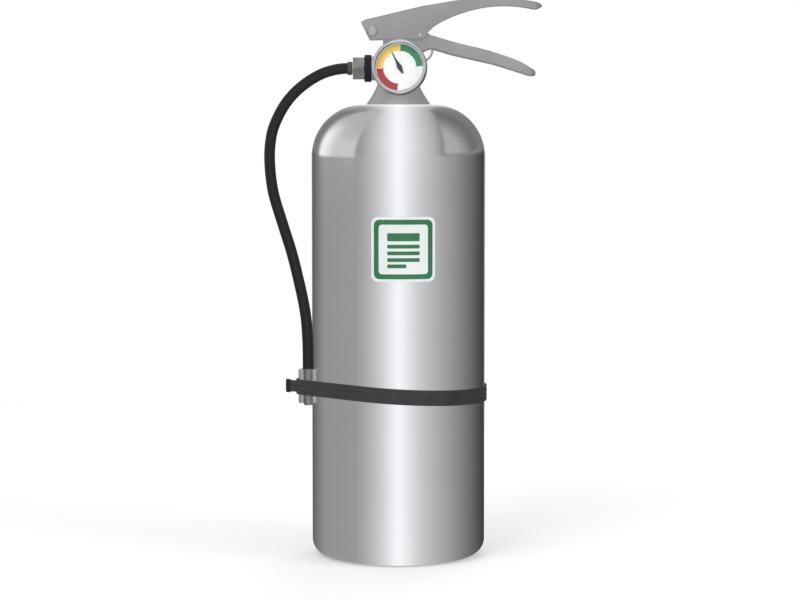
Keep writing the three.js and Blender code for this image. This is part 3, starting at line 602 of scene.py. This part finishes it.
pinSettings = {"x": 43.5, "z": -3.4, "radius": 1.6, "hole": 2.0, "travel": 12.5, "eyeY": 18.4, "collarY": 13.8}


def rodAlongY(name, x, z, radius, low, high, segments=48):
    profile = [(0, low), (radius, low), (radius, high), (0, high)]
    return turnedPiece(name, profile, pivot + [x, 0, z], alongY, False, segments)


def pinHoles(pinHigh):
    # Cutters for the pivot's hole and the safety pin's hole.
    return [rodAlongY("pivotCutter", 0, 0, 3.3, -20, 20),
            rodAlongY("pinCutter", pinSettings["x"], pinSettings["z"], pinSettings["hole"], -20, pinHigh)]


def slotCutter():
    # Points on the two sides of an arc about the pivot, with round ends, carried across the back cheek.
    s = pinSettings
    far = math.hypot(s["x"], s["z"])
    start = math.atan2(s["z"], s["x"])
    end = start + math.radians(s["travel"])
    half = s["hole"]
    turn = np.linspace(start, end, 16)
    halfTurn = np.linspace(0, np.pi, 12)
    outer = roundAxis(far + half, turn)
    inner = roundAxis(far - half, turn)[::-1]
    cap = lambda a, offset: roundAxis(far, a) + roundAxis(half, a + offset + halfTurn)
    outline = np.vstack([outer, cap(end, 0)[1:-1], inner, cap(start, np.pi)[1:-1]])
    y = np.array([2.0, 16.0])[:, None, None]
    layer = np.concatenate([outline[:, :1], 0 * outline[:, :1], outline[:, 1:]], 1)[None]
    return makePiece("slotCutter", [(placedAt(layer + y * np.array([0, 1, 0]), pivot), False)])


leverObject = leverPiece()
carve(leverObject, pinHoles(0) + [slotCutter()], 45)
fit(leverObject, "lever", pressedSteel, "pressed_steel", "lever")
print("lever made")


# Carry handle: an open channel in front, two flat cheeks behind

handleSettings = {"inner": 9.0, "sheet": 2.0, "bend": 2.4, "edge": 0.45, "ear": 5.5, "cheekBottom": -25.7}
handleUnder = [(46, -19.6), (53, -16.8), (60, -18.2), (73.3, -22.1), (92.6, -26.5), (111.9, -31), (131.2, -36.9),
               (143.2, -40.7)]
handleTop = [(53, -3.4), (79.7, -11.2), (99, -15.7), (118.3, -21.4), (135.4, -27.8), (149, -35.8)]
handleNose = [(143.2, -40.7), (152, -43), (149, -35.8)]


def handleOutline():
    s = handleSettings
    noseTip = 0.7458
    ear = s["ear"]
    x = np.linspace(-ear, 0, 14)
    earTop = np.stack([x, np.sqrt(np.maximum(ear**2 - x**2, 0))], -1)
    x = np.linspace(-ear, 2.15, 18)
    earUnder = np.stack([x, -np.sqrt(np.maximum(ear**2 - x**2, 0))], -1)
    top = np.vstack([earTop, [(46, 2.6)], throughPoints(handleTop), quadratic(*handleNose[::-1], 0, 1 - noseTip)[1:]])
    under = np.vstack([earUnder, [(9.98, -8), (10, -23.7), (12, s["cheekBottom"]), (38, s["cheekBottom"])],
                       throughPoints(handleUnder), quadratic(*handleNose, 0, noseTip)[1:]])
    return top, under


def handlePieces():
    s = handleSettings
    top, under = handleOutline()
    inner, outer, edge = s["inner"], s["inner"] + s["sheet"], s["edge"]
    x = np.concatenate([np.linspace(45.9, 60, 16), np.linspace(61, 142, 50), 149.72 - 7 * np.linspace(1, 0, 20) ** 2])
    high, low = heightsAt(x, top), heightsAt(x, under)
    high = np.maximum(high, low + 0.02)
    web = np.minimum(low + s["sheet"] + (high - low) * np.clip((x - 143) / 3, 0, 1), high)
    tip = np.clip((x - 143) / 6.8, 0, 1)
    wide = outer * np.sqrt(1 - 0.5 * tip**2.4)
    slim = wide - s["sheet"]
    channel = sectionsAlong(x, [(-wide, high), (-wide, low), (wide, low), (wide, high), (slim, high), (slim, web),
                                (-slim, web), (-slim, high)], [edge, s["bend"], s["bend"], edge, edge, 0.9, 0.9, edge])
    x = np.concatenate([-5.49 + 5.5 * np.linspace(0, 1, 14) ** 2, np.linspace(0.5, 9.98, 12), [10.0, 10.5, 11.2, 12],
                        np.linspace(13, 45.9, 30)])
    high, low = heightsAt(x, top), heightsAt(x, under)
    fit(makePiece("handleChannel", [(channel, False)], 45), "vessel", pressedSteel, "pressed_steel", "carry_handle")
    for side, name in ((-1, "handleCheekFront"), (1, "handleCheekRear")):
        corners = [(side * inner, high), (side * inner, low), (side * outer, low), (side * outer, high)]
        cheek = makePiece(name, [(sectionsAlong(x, corners, edge), False)], 45)
        carve(cheek, pinHoles(20), 45)
        fit(cheek, "vessel", pressedSteel, "pressed_steel")


handlePieces()
print("handle made")


# Rivets, safety pin and pull ring


def rivetPiece(name, x, z, radius, head, thick, seat):
    # A shank along Y with a domed head at each end.
    rise = np.linspace(0, 1, 9)
    crown = seat + 0.35 + (thick - 0.35) * np.sin(rise * np.pi / 2)
    dome = np.stack([head * np.cos(rise * np.pi / 2) ** 0.6, crown], -1)
    half = np.vstack([[(radius, seat), (head, seat)], dome])
    profile = np.vstack([half[::-1] * [1, -1], half])
    return turnedPiece(name, profile, (x, 0, z), alongY, False, 64, angle=50)


# Name, X, Z, then shank radius, head radius, head height and seat, then the node
rivetList = [
    ("pivotRivet", pivot[0], pivot[2], (3.0, 5.0, 1.9, 13.8), "lever_pivot_pin"),
    ("handleRivetRear", -9.5, 464.5, (2.0, 3.0, 1.5, 11.3), "handle_rivet_rear"),
    ("handleRivetFront", 9.5, 464.5, (2.0, 3.0, 1.5, 11.3), "handle_rivet_front"),
]
for rivetName, rivetX, rivetZ, rivetSizes, rivetNode in rivetList:
    fit(rivetPiece(rivetName, rivetX, rivetZ, *rivetSizes), "vessel", rivetSteel, "plated_steel", rivetNode)


def safetyPinPiece():
    s = pinSettings
    origin = pivot + [s["x"], 0, s["z"]]
    radius, collar = s["radius"], s["collarY"]
    rod = rounded([(0, -11.2), (radius, -11.2), (radius, collar), (3.2, collar), (3.2, 15.2), (0, 15.2)], 0.4, False)
    grids = [(placedAt(revolve(rod, 48), origin, alongY), False)]
    # The eye is a thick ring about X, flat on both sides.
    ringProfile = rounded([(1.95, -1.2), (3.8, -1.2), (3.8, 1.2), (1.95, 1.2)], 0.45)
    alongX = np.array([[0, 1, 0], [0, 0, 1], [1, 0, 0]], float)
    grids.append((placedAt(revolve(ringProfile, 48), origin + [0, s["eyeY"], 0], alongX), True))
    return makePiece("safetyPinTurned", grids, 50)


ringSettings = {"radius": 12.0, "wire": 1.1, "drop": 12.6}


def pullRingPiece():
    s = ringSettings
    centre = pivot + [pinSettings["x"], pinSettings["eyeY"], pinSettings["z"] - s["drop"]]
    section = circleSection(s["wire"], 20) + [s["radius"], 0]
    return makePiece("pullRingWire", [(placedAt(revolve(section, 96), centre, alongY), True)], 60)


fit(safetyPinPiece(), "safety_pin", wireSteel, "plated_steel", "safety_pin")
fit(pullRingPiece(), "pull_ring", wireSteel, "spring_steel", "pull_ring")
print("pins and ring made")


# Pressure gauge: drawn about its own axis and placed in its tilted frame

gaugeSettings = {"tilt": 9.0, "turn": 6.0, "caseRadius": 23.6, "zoneInner": 15.0, "zoneOuter": 21.1,
                 "pointerAngle": 118.0}
gaugePlace = np.array(joints["needle_turn"]["pos_m"]) / mm


def gaugeAxes():
    tilt, turn = math.radians(gaugeSettings["tilt"]), math.radians(gaugeSettings["turn"])
    across = np.array([math.cos(turn), -math.sin(turn), 0])
    out = np.array([-math.sin(turn) * math.cos(tilt), -math.cos(turn) * math.cos(tilt), math.sin(tilt)])
    return np.array([across, np.cross(out, across), out])


dialAxes = gaugeAxes()


def gaugeTurned(name, profile, closed, segments=128, angle=40):
    return turnedPiece(name, profile, gaugePlace, dialAxes, closed, segments, angle=angle)


def gaugeCasePiece():
    r = gaugeSettings["caseRadius"]
    corners = [(3.9, 0), (22.2, 0), (r, 1.4), (r, 11.5), (22.6, 11.5), (22.6, 1.2), (3.9, 1.2)]
    return gaugeTurned("gaugeCup", rounded(corners, [0.2, 0.8, 0.8, 0.2, 0.2, 0.6, 0.2]), True)


def gaugeBezelPiece():
    corners = [(23.9, 4), (25, 4), (25, 12.4), (23.9, 13.6), (22.6, 13.6), (21.9, 12.6), (21.9, 11.8), (23.9, 11.8)]
    return gaugeTurned("gaugeRim", rounded(corners, [0.2, 0.4, 1.2, 1.0, 0.8, 0.5, 0.2, 0.1], steps=8), True)


def lensPiece():
    r = np.linspace(22.3, 0, 24)
    dome = np.stack([r, 10.9 + 0.5 * (1 - (r / 22.3) ** 2)], -1)
    return gaugeTurned("gaugeWindow", np.vstack([[(0, 10.0), (22.3, 10.0)], dome]), False)


def dialDisc():
    return gaugeTurned("dialPlate", [(1.2, 6.5), (22.3, 6.5), (22.3, 7.2), (1.2, 7.2)], True)


zonePaint = {"green": (0.013, 0.22, 0.07), "yellow": (0.88, 0.68, 0.06), "orange": (0.92, 0.52, 0.12),
             "red": (0.42, 0.01, 0.024)}
zoneStops = {0: "green", 90: "green", 90.2: "yellow", 183: "orange", 183.2: "red", 270: "red"}


def paintPoints(mesh, name, colours):
    # Stores one colour a point as an attribute that the material reads.
    rgba = np.concatenate([colours, np.ones((len(colours), 1))], -1)
    mesh.color_attributes.new(name, "FLOAT_COLOR", "POINT").data.foreach_set("color", rgba.ravel())


def zoneArc(name, start, end):
    # A flat band of constant width between two angles, a little proud of the dial.
    g = gaugeSettings
    angle = np.radians(np.linspace(start, end, 90))[:, None]
    r = np.array([g["zoneInner"], g["zoneOuter"], g["zoneOuter"], g["zoneInner"]])[None]
    z = np.array([7.15, 7.15, 7.28, 7.28])[None]
    points = placedAt(roundAxis(r, angle, z), gaugePlace, dialAxes)
    piece = makePiece(name, [(points, False)], 30)
    mesh = piece.data
    co = np.empty(len(mesh.vertices) * 3)
    mesh.vertices.foreach_get("co", co)
    local = (co.reshape(-1, 3) / mm - gaugePlace) @ dialAxes.T
    degrees = (np.degrees(np.arctan2(local[:, 1], local[:, 0])) + 10) % 360 - 10
    colours = np.array([zonePaint[paint] for paint in zoneStops.values()])
    paintPoints(mesh, "zone", np.stack([np.interp(degrees, list(zoneStops), colours[:, k]) for k in range(3)], -1))
    return fit(piece, "vessel", zonePrint, "dial")


def dialMark(name, angle, inner, outer, half):
    turn = math.radians(angle)
    along = np.array([math.cos(turn), math.sin(turn), 0])
    across = np.array([-math.sin(turn), math.cos(turn), 0])
    r = np.array([inner, outer])[:, None, None]
    side = np.array([[-half, 7.15], [half, 7.15], [half, 7.33], [-half, 7.33]])[None]
    points = r * along + side[..., :1] * across + side[..., 1:] * np.array([0, 0, 1])
    return fit(makePiece(name, [(placedAt(points, gaugePlace, dialAxes), False)]), "vessel", pointerPaint, "dial")


def needlePiece():
    # A diamond outline that tapers to the tip, with a shorter tail, carried through its thickness.
    outline = np.array([(0.36, 16.0), (0.7, 8), (1.3, 4.0), (2.4, 0), (1.2, -3.6), (0.8, -6.2)])
    outline = np.vstack([outline, outline[::-1] * [-1, 1]])
    turn = math.radians(gaugeSettings["pointerAngle"] - 90)
    spin = np.array([[math.cos(turn), math.sin(turn)], [-math.sin(turn), math.cos(turn)]])
    flat = outline @ spin
    z = np.array([8.1, 8.45, 8.7])[:, None]
    shrink = np.array([1.0, 1.0, 0.86])[:, None, None]
    points = np.concatenate([flat[None] * shrink, np.broadcast_to(z[..., None], (3, len(flat), 1))], -1)
    hub = revolve(rounded([(0, 8.0), (2.3, 8.0), (2.3, 9.0), (0, 9.25)], 0.3, False), 40)
    grids = [(placedAt(points, gaugePlace, dialAxes), False), (placedAt(hub, gaugePlace, dialAxes), False)]
    return makePiece("needleBlade", grids, 30)


fit(gaugeCasePiece(), "vessel", rimSteel, "gauge_rim", "gauge_case")
fit(gaugeBezelPiece(), "vessel", rimSteel, "gauge_rim", "gauge_bezel")
lensObject = fit(lensPiece(), "vessel", clearLens, "lens", "gauge_lens")
lensObject.visible_shadow = False
fit(dialDisc(), "vessel", cardWhite, "dial", "gauge_dial")
zoneArc("zoneGreen", 3.5, 89.4)
zoneArc("zoneYellow", 90.6, 182.2)
zoneArc("zoneRed", 183.6, 265)
for markNumber, markAngle in enumerate((5, 47, 90, 137, 183, 224, 265)):
    dialMark(f"dialMark{markNumber}", markAngle, 13.9, 15.4, 0.22)
fit(needlePiece(), "needle", pointerPaint, "pointer", "gauge_pointer")
print("gauge made")


# Hose outlet: knurled ring, hexagon nut and crimped ferrule about the outlet's axis

outletSettings = {"height": 450.0, "ringFlutes": 20, "nutFlats": 20.0, "nutNear": 31.2, "nutFar": 41.7}
outletPlace = np.array([0, 0, outletSettings["height"]])


def outletTurned(name, profile, scallop=None, segments=96, closed=True, angle=35):
    return turnedPiece(name, profile, outletPlace, outletAxes, closed, segments, scallop, angle)


def ringFlutes(r, angle, z):
    grip = np.clip((r - 11) / 1.2, 0, 1)
    return r - grip * 0.45 * (0.5 + 0.5 * np.cos(outletSettings["ringFlutes"] * angle)) ** 3


def hexagon(r, angle, z):
    # Outside the bore the radius is the hexagon's, cut by a 30 degree chamfer cone at both ends.
    half = outletSettings["nutFlats"] / 2
    turn = (angle + np.pi / 6) % (np.pi / 3) - np.pi / 6
    flat = half / np.cos(turn)
    cone = half + 0.35 + np.minimum(z - outletSettings["nutNear"], outletSettings["nutFar"] - z) * 1.7
    return np.where(r > 8.5, np.minimum(flat, cone), r)


def nutProfile():
    near, far = outletSettings["nutNear"], outletSettings["nutFar"]
    z = np.concatenate([[near], near + np.linspace(0.05, 1.2, 6), far - np.linspace(1.2, 0.05, 6), [far]])
    outer = np.stack([np.full(len(z), 10.0), z], -1)
    return np.vstack([[(7.3, near)], outer, [(5.5, far), (5.5, far - 1.5), (7.3, far - 1.5)]])


def crimpProfile(low, high, inner, outer, grooves, depth=0.35):
    z = np.linspace(low, high, 60)
    dip = depth * (0.5 - 0.5 * np.cos(2 * np.pi * grooves * (z - low) / (high - low))) ** 4
    ends = 0.5 * np.exp(-np.minimum(z - low, high - z) / 0.25)
    outside = np.stack([outer - dip - ends * 0.6, z], -1)
    return np.vstack([outside, [(inner, high), (inner, low)]])


ringCorners = rounded([(7.3, 24.7), (12.5, 24.7), (12.5, 31.2), (7.3, 31.2)], [0.2, 0.9, 0.9, 0.2])
ringLine = np.vstack([ringCorners[:9], [(12.5, 27), (12.5, 28), (12.5, 29)], ringCorners[9:]])
outletGrip = outletTurned("outletGrip", ringLine, ringFlutes, 240, angle=50)
fit(outletGrip, "vessel", blackPlastic, "black_plastic", "outlet_ring")
outletNut = outletTurned("outletHexNut", nutProfile(), hexagon, 144, angle=25)
fit(outletNut, "vessel", nutSteel, "plated_steel", "outlet_nut")
crimpObject = outletTurned("hoseCrimp", crimpProfile(42.3, 46.9, 5.3, 6.2, 2), angle=50)
fit(crimpObject, "vessel", darkMetal, "black_metal", "hose_ferrule")
print("outlet made")


# Nozzle, its ferrule and the spring clip that holds it

clipPlace = np.array(hoseRoute[-1]) * [1, 1, 0]
clipSettings = {"inner": 6.4, "outer": 8.7, "low": 146.0, "high": 176.7, "opening": 80.0}


def nozzlePiece():
    corners = [(1.9, 143.6), (3.4, 143.6), (6.1, 149), (6.1, 161.7), (3.0, 161.7), (3.0, 164.5), (1.9, 164.5)]
    return turnedPiece("nozzleTip", rounded(corners, [0.3, 0.6, 1.6, 0.4, 0.1, 0.1, 0.1]), clipPlace, segments=72)


def clipPiece():
    # A rolled section carried round an arc that is open to the front.
    s = clipSettings
    half = math.radians(s["opening"] / 2)
    angle = (-np.pi / 2 + np.linspace(half, 2 * np.pi - half, 80))[:, None]
    inner, outer, low, high = s["inner"], s["outer"], s["low"], s["high"]
    corners = rounded([(inner, low), (outer, low), (outer, high), (inner, high)], 0.5)
    points = roundAxis(corners[None, :, 0], angle, corners[None, :, 1])
    return makePiece("clipRolled", [(placedAt(points, clipPlace), False)], 40)


nozzleObject = fit(nozzlePiece(), "vessel", nozzleMetal, "nozzle_metal", "nozzle")
crimpLine = crimpProfile(162.0, 177.0, 5.3, 6.1, 4, 0.3)
ferruleObject = fit(turnedPiece("nozzleCrimp", crimpLine, clipPlace, segments=72, angle=50), "vessel", nozzleMetal,
                    "nozzle_metal", "nozzle_ferrule")
fit(clipPiece(), "vessel", platedSteel, "plated_steel", "hose_clip")


# Strap: one belt round the cylinder and the clip, with a pull tab

strapSettings = {"thickness": 2.1, "height": 14.0, "centreZ": 155.7, "slope": -0.058, "gap": 0.1, "tabThick": 5.0,
                 "tabHeight": 10.4, "tabEnd": 20.3, "ribDepth": 0.5}


def sloped(points):
    return points + points[..., :1] * np.array([0, 0, strapSettings["slope"]]) + [0, 0, strapSettings["centreZ"]]


def beltPath(bigRadius, smallCentre, smallRadius, count=360):
    # The outline of the two circles' convex hull: the support point in direction a is the farther circle's.
    a = np.linspace(0, 2 * np.pi, count, endpoint=False)
    out = roundAxis(1, a)
    reachSmall = out @ smallCentre + smallRadius
    onSmall = (reachSmall > bigRadius)[:, None]
    return np.where(onSmall, smallCentre + smallRadius * out, bigRadius * out)


def evenly(path, step=2.0):
    # Walks the closed line in equal steps, so that straight stretches get points too.
    closed = np.vstack([path, path[:1]])
    along = np.concatenate([[0], np.cumsum(np.linalg.norm(np.diff(closed, axis=0), axis=1))])
    s = np.linspace(0, along[-1], int(along[-1] / step), endpoint=False)
    return np.stack([np.interp(s, along, closed[:, k]) for k in range(closed.shape[1])], -1)


def strapPieces():
    s = strapSettings
    half = s["thickness"] / 2
    big = shellRadius + s["gap"] + half
    small = clipSettings["outer"] + s["gap"] + half
    path = evenly(beltPath(big, clipPlace[:2], small))
    path = np.concatenate([path, np.zeros((len(path), 1))], -1)
    tall = s["height"] / 2
    section = rounded(boxCorners(half, tall), [0.3, 0.9, 0.9, 0.3])
    rib = np.linspace(-tall + 1.4, tall - 1.4, 40)
    groove = (0.5 - 0.5 * np.cos(2 * np.pi * 3 * (rib + tall) / s["height"])) ** 3
    outside = np.stack([half - s["ribDepth"] * groove, rib], -1)
    middle = len(section) // 2
    section = np.vstack([section[:middle], outside, section[middle:]])
    points = carried(path, section, (0, 0, 1), True)
    tabEnd = s["tabEnd"]
    corners = rounded(boxCorners(s["tabThick"] / 2, s["tabHeight"] / 2), 1.0)
    x = np.concatenate([np.linspace(small, tabEnd - 1.2, 20), tabEnd - 1.2 * np.linspace(1, 0.02, 8) ** 2])
    shrink = np.where(x > tabEnd - 1.2, 1 - 0.25 * ((x - tabEnd + 1.2) / 1.2) ** 2, 1)
    tab = np.stack([np.broadcast_to(-x[:, None], (len(x), len(corners))), corners[None, :, 0] * shrink[:, None],
                    corners[None, :, 1] * shrink[:, None]], -1) + clipPlace
    belt = makePiece("strapBelt", [(sloped(points), True), (sloped(tab), False)], 40)
    fit(belt, "vessel", rubber, "rubber", "strap")
    # The keeper is a hollow rounded sleeve over the tab's end.
    start = tabEnd - 4.3
    end = start + 4.0
    outer = rounded(boxCorners(3.5, 5.9), 1.2)
    inner = rounded(boxCorners(2.6, 5.3), 1.0)
    rows = [(outer, start), (outer, start + 0.4), (outer, start + 3.6), (outer, end), (inner, end), (inner, start)]
    clasp = np.stack([np.concatenate([np.full((len(line), 1), -place), line], -1) for line, place in rows]) + clipPlace
    keeper = makePiece("strapKeeper", [(sloped(clasp), True)], 40)
    fit(keeper, "vessel", blackPlastic, "black_plastic", "strap_clasp")


strapPieces()
print("nozzle and strap made")


# Return spring: a coil with closed end turns, drawn at one length

springSettings = {"radius": 5.2, "wire": 0.75, "low": 413.09, "high": 431.92, "turns": 4.5, "closedTurns": 0.75,
                  "closedPitch": 2.06, "travel": 5.5}


def springPiece():
    # The coil's height rises by one wire a turn at the closed ends and evenly between them.
    s = springSettings
    turn = np.linspace(0, s["turns"], 320)
    rise = s["closedTurns"] * s["wire"] * s["closedPitch"]
    height = np.interp(turn, [0, s["closedTurns"], s["turns"] - s["closedTurns"], s["turns"]],
                       [s["low"], s["low"] + rise, s["high"] - rise, s["high"]])
    path = roundAxis(s["radius"], 2 * np.pi * turn, height)
    return makePiece("springCoil", [(carried(path, circleSection(s["wire"], 16), (0, 0, 1)), False)], 50)


springObject = fit(springPiece(), "vessel", wireSteel, "spring_steel", "return_spring")
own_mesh(springObject)
print("spring made")


# Inner nodes keep their solids and take these finishes

innerFinishes = {
    "neck_o_ring": sealRubber, "stem_o_ring": sealRubber, "seat_seal": sealRubber, "outlet_washer": sealRubber,
    "valve_stem": platedSteel, "dip_tube": whitePlastic, "dip_tube_strainer": blackPlastic,
    "gauge_stem": brass, "bourdon_coil": brass, "pointer_spindle": brass, "outlet_adapter": brass, "hose_tail": brass,
}
for node, material in innerFinishes.items():
    mesh = frame["nodes"][node].data
    mesh.materials.clear()
    mesh.materials.append(material)

print("inner finishes set")


# Studio: floor, surround and lamps

floorSettings = {"size": 1.9, "solid": 0.45, "fade": 1.5, "colour": (0.88, 0.882, 0.89), "lift": 0.13}


def stagePiece(name, points):
    mesh = bpy.data.meshes.new(name)
    mesh.from_pydata(points.reshape(-1, 3).tolist(), [], gridFaces(*points.shape[:2]).tolist())
    piece = shownObject(name, mesh)
    return piece


def floorPiece():
    rings = np.linspace(0, 1, 40)[:, None] ** 1.5 * floorSettings["size"]
    angle = np.linspace(0, 2 * np.pi, 96, endpoint=False)[None]
    return stagePiece("floor", roundAxis(rings, angle, -0.0002))


def floorFinish():
    # A matt pale floor that thins out towards its rim, so that no edge shows.
    material, nodes, links, shader = newMaterial("paleFloor")
    shader.inputs["Base Color"].default_value = (*floorSettings["colour"], 1)
    shader.inputs["Roughness"].default_value = 0.9
    shader.inputs["Specular IOR Level"].default_value = 0.0
    place = nodes.new("ShaderNodeTexCoord")
    distance = nodes.new("ShaderNodeVectorMath")
    distance.operation = "LENGTH"
    links.new(place.outputs["Object"], distance.inputs[0])
    cover = spread(nodes, links, distance.outputs["Value"], 1, 0, floorSettings["solid"], floorSettings["fade"])
    links.new(cover, shader.inputs["Alpha"])
    # What the camera sees of the floor is lifted to the white of the studio; its shadow stays.
    paths = nodes.new("ShaderNodeLightPath")
    shader.inputs["Emission Color"].default_value = (1, 1, 1, 1)
    lifted = spread(nodes, links, paths.outputs["Is Camera Ray"], 0, floorSettings["lift"], 0, 1)
    links.new(lifted, shader.inputs["Emission Strength"])
    return material


floor = floorPiece()
floor.data.materials.append(floorFinish())
floor.visible_glossy = False

# What the metal sees: cards of light round the studio as (azimuth from straight ahead, level as a share of white),
# with the walls blending between them, and a panel over each shoulder
studioCards = {
    "rearStrip": (-180, 0.88), "leftGap": (-158, 0.34), "leftEnd": (-115, 0.58), "leftWall": (-58, 0.60),
    "keyLight": (0, 0.91), "rightWall": (80, 0.57), "rightGap": (152, 0.22), "rearStripEnd": (180, 0.88),
}
studioSettings = {"coreLevel": 0.08, "coreWidth": 22, "shell": 0.80, "leftPanel": 0.79, "leftGlow": 0.16,
                  "leftFade": 0.09, "rim": 0.47, "rightPanel": 0.67, "rightFade": 0.24, "radius": 7,
                  "centreZ": 0.3, "tint": (0.99, 0.995, 1.01)}


def linearTone(share):
    share = np.asarray(share, float)
    linear = np.where(share <= 0.04045, share / 12.92, ((share + 0.055) / 1.055) ** 2.4)
    return linear / studioSettings["shell"]


def roundTone(azimuth):
    # Straight blends from card to card, plus a brighter core straight ahead.
    place, level = np.array(list(studioCards.values()), float).T
    core = studioSettings["coreLevel"] * np.exp(-(azimuth / studioSettings["coreWidth"]) ** 2)
    return linearTone(np.interp(azimuth, place, level) + core)


def smoothStep(value, low, high):
    t = np.clip((value - low) / (high - low), 0, 1)
    return t * t * (3 - 2 * t)


def surroundTone(direction):
    x, y, z = direction[..., 0], direction[..., 1], direction[..., 2]
    s = studioSettings
    level = roundTone(np.degrees(np.arctan2(x, -y)))
    # Below the horizon the columns follow the heel: twice the heading of the surface that turns a level view this way.
    heel = roundTone(np.degrees(2 * np.arctan2(x, np.maximum(1 - y, 1e-6))))
    level = np.where(z < 0, heel, level)
    # Above the horizon the same column of light is narrower, so that it stays upright on the shoulder.
    narrow = np.maximum(1 - 0.52 * (y + 0.78), 0.12)
    squeezed = np.clip(x / narrow, -0.999, 0.999)
    column = roundTone(np.degrees(np.arcsin(squeezed)))
    up = smoothStep(z, 0.02, 0.10)
    over = level + (column - level) * up
    left = smoothStep(-0.42 + 0.70 * y - 0.30 * y * y - x, -0.02, 0.03) * smoothStep(z, 0.008, 0.03)
    left = left * (1 - smoothStep(y, 0.56, 0.72))
    glow = s["leftGlow"] * smoothStep(y, 0.05, 0.5) * smoothStep(-x, 0.5, 0.8)
    glow = glow - s["leftFade"] * smoothStep(z, 0.35, 0.8)
    over = over + (linearTone(s["leftPanel"] + glow) - over) * left
    rim = smoothStep(y, 0.60, 0.80) * smoothStep(np.abs(x), 0.12, 0.3) * up
    over = over + (linearTone(s["rim"]) - over) * rim
    right = smoothStep(x - 0.62 + 0.6 * y, -0.03, 0.05) * smoothStep(z, 0.09, 0.15) * (1 - smoothStep(y, 0.6, 0.8))
    over = over + (linearTone(s["rightPanel"] - s["rightFade"] * smoothStep(y, -0.15, 0.6)) - over) * right
    return over


def surroundPiece():
    # A sphere seen only by reflections; its brightness is a function of direction.
    s = studioSettings
    lat = np.linspace(-np.pi / 2, np.pi / 2, 241)[:, None]
    lon = np.linspace(0, 2 * np.pi, 480, endpoint=False)[None]
    direction = roundAxis(np.cos(lat), lon, np.sin(lat))
    sphere = stagePiece("surround", direction * s["radius"] + [0, 0, s["centreZ"]])
    paintPoints(sphere.data, "tone", surroundTone(direction).reshape(-1, 1) * [s["tint"]])
    return sphere


def surroundFinish():
    material = bpy.data.materials.new("surroundGlow")
    material.use_nodes = True
    nodes, links = material.node_tree.nodes, material.node_tree.links
    nodes.clear()
    tone = nodes.new("ShaderNodeAttribute")
    tone.attribute_name = "tone"
    glow = nodes.new("ShaderNodeEmission")
    out = nodes.new("ShaderNodeOutputMaterial")
    links.new(tone.outputs["Color"], glow.inputs["Color"])
    links.new(glow.outputs["Emission"], out.inputs["Surface"])
    return material


surround = surroundPiece()
surround.data.materials.append(surroundFinish())
for ray in ("camera", "diffuse", "shadow", "transmission", "volume_scatter"):
    setattr(surround, "visible_" + ray, False)

worldSettings = {"behind": (1.0, 1.0, 1.0), "fill": (0.72, 0.72, 0.73)}


def makeWorld():
    world = bpy.data.worlds.new("studio")
    scene.world = world
    world.use_nodes = True
    nodes, links = world.node_tree.nodes, world.node_tree.links
    nodes.clear()
    paths = nodes.new("ShaderNodeLightPath")
    seen = paths.outputs["Is Camera Ray"]
    for ray in ("Is Glossy Ray", "Is Transmission Ray"):
        either = nodes.new("ShaderNodeMath")
        either.operation = "MAXIMUM"
        links.new(seen, either.inputs[0])
        links.new(paths.outputs[ray], either.inputs[1])
        seen = either.outputs[0]
    fill, behind = (nodes.new("ShaderNodeBackground") for _ in range(2))
    fill.inputs["Color"].default_value = (*worldSettings["fill"], 1)
    behind.inputs["Color"].default_value = (*worldSettings["behind"], 1)
    mix = nodes.new("ShaderNodeMixShader")
    out = nodes.new("ShaderNodeOutputWorld")
    links.new(seen, mix.inputs["Fac"])
    links.new(fill.outputs[0], mix.inputs[1])
    links.new(behind.outputs[0], mix.inputs[2])
    links.new(mix.outputs[0], out.inputs["Surface"])


makeWorld()

# Name: place, size and power; all three aim at one point on the upright axis
lampAim = np.array([0, 0, 0.25])
lampSettings = {
    "front": ((-1.1, -1.6, 1.9), 1.4, 18),
    "side": ((1.7, -0.9, 1.4), 1.2, 10),
    "back": ((0.5, 1.7, 1.8), 1.4, 9),
}


def makeLamp(name, place, size, power):
    lamp = bpy.data.lights.new(name, "AREA")
    lamp.size = size
    lamp.energy = power
    lampObject = shownObject(name, lamp)
    lampObject.location = place
    towards = lampAim - np.array(place)
    flat = math.hypot(towards[0], towards[1])
    lampObject.rotation_euler = (math.atan2(flat, -towards[2]), 0, math.atan2(-towards[0], towards[1]))
    lampObject.visible_glossy = False
    lampObject.visible_camera = False


for lampName, lampFacts in lampSettings.items():
    makeLamp(lampName + "Lamp", *lampFacts)
print("studio set")

# The drum's polish shows the studio, and not the fittings round it
seenInMetal = ("Skin", "label", "floor", "surround")
for piece in scene.objects:
    if piece.type == "MESH" and not any(word in piece.name for word in seenInMetal):
        piece.visible_glossy = False
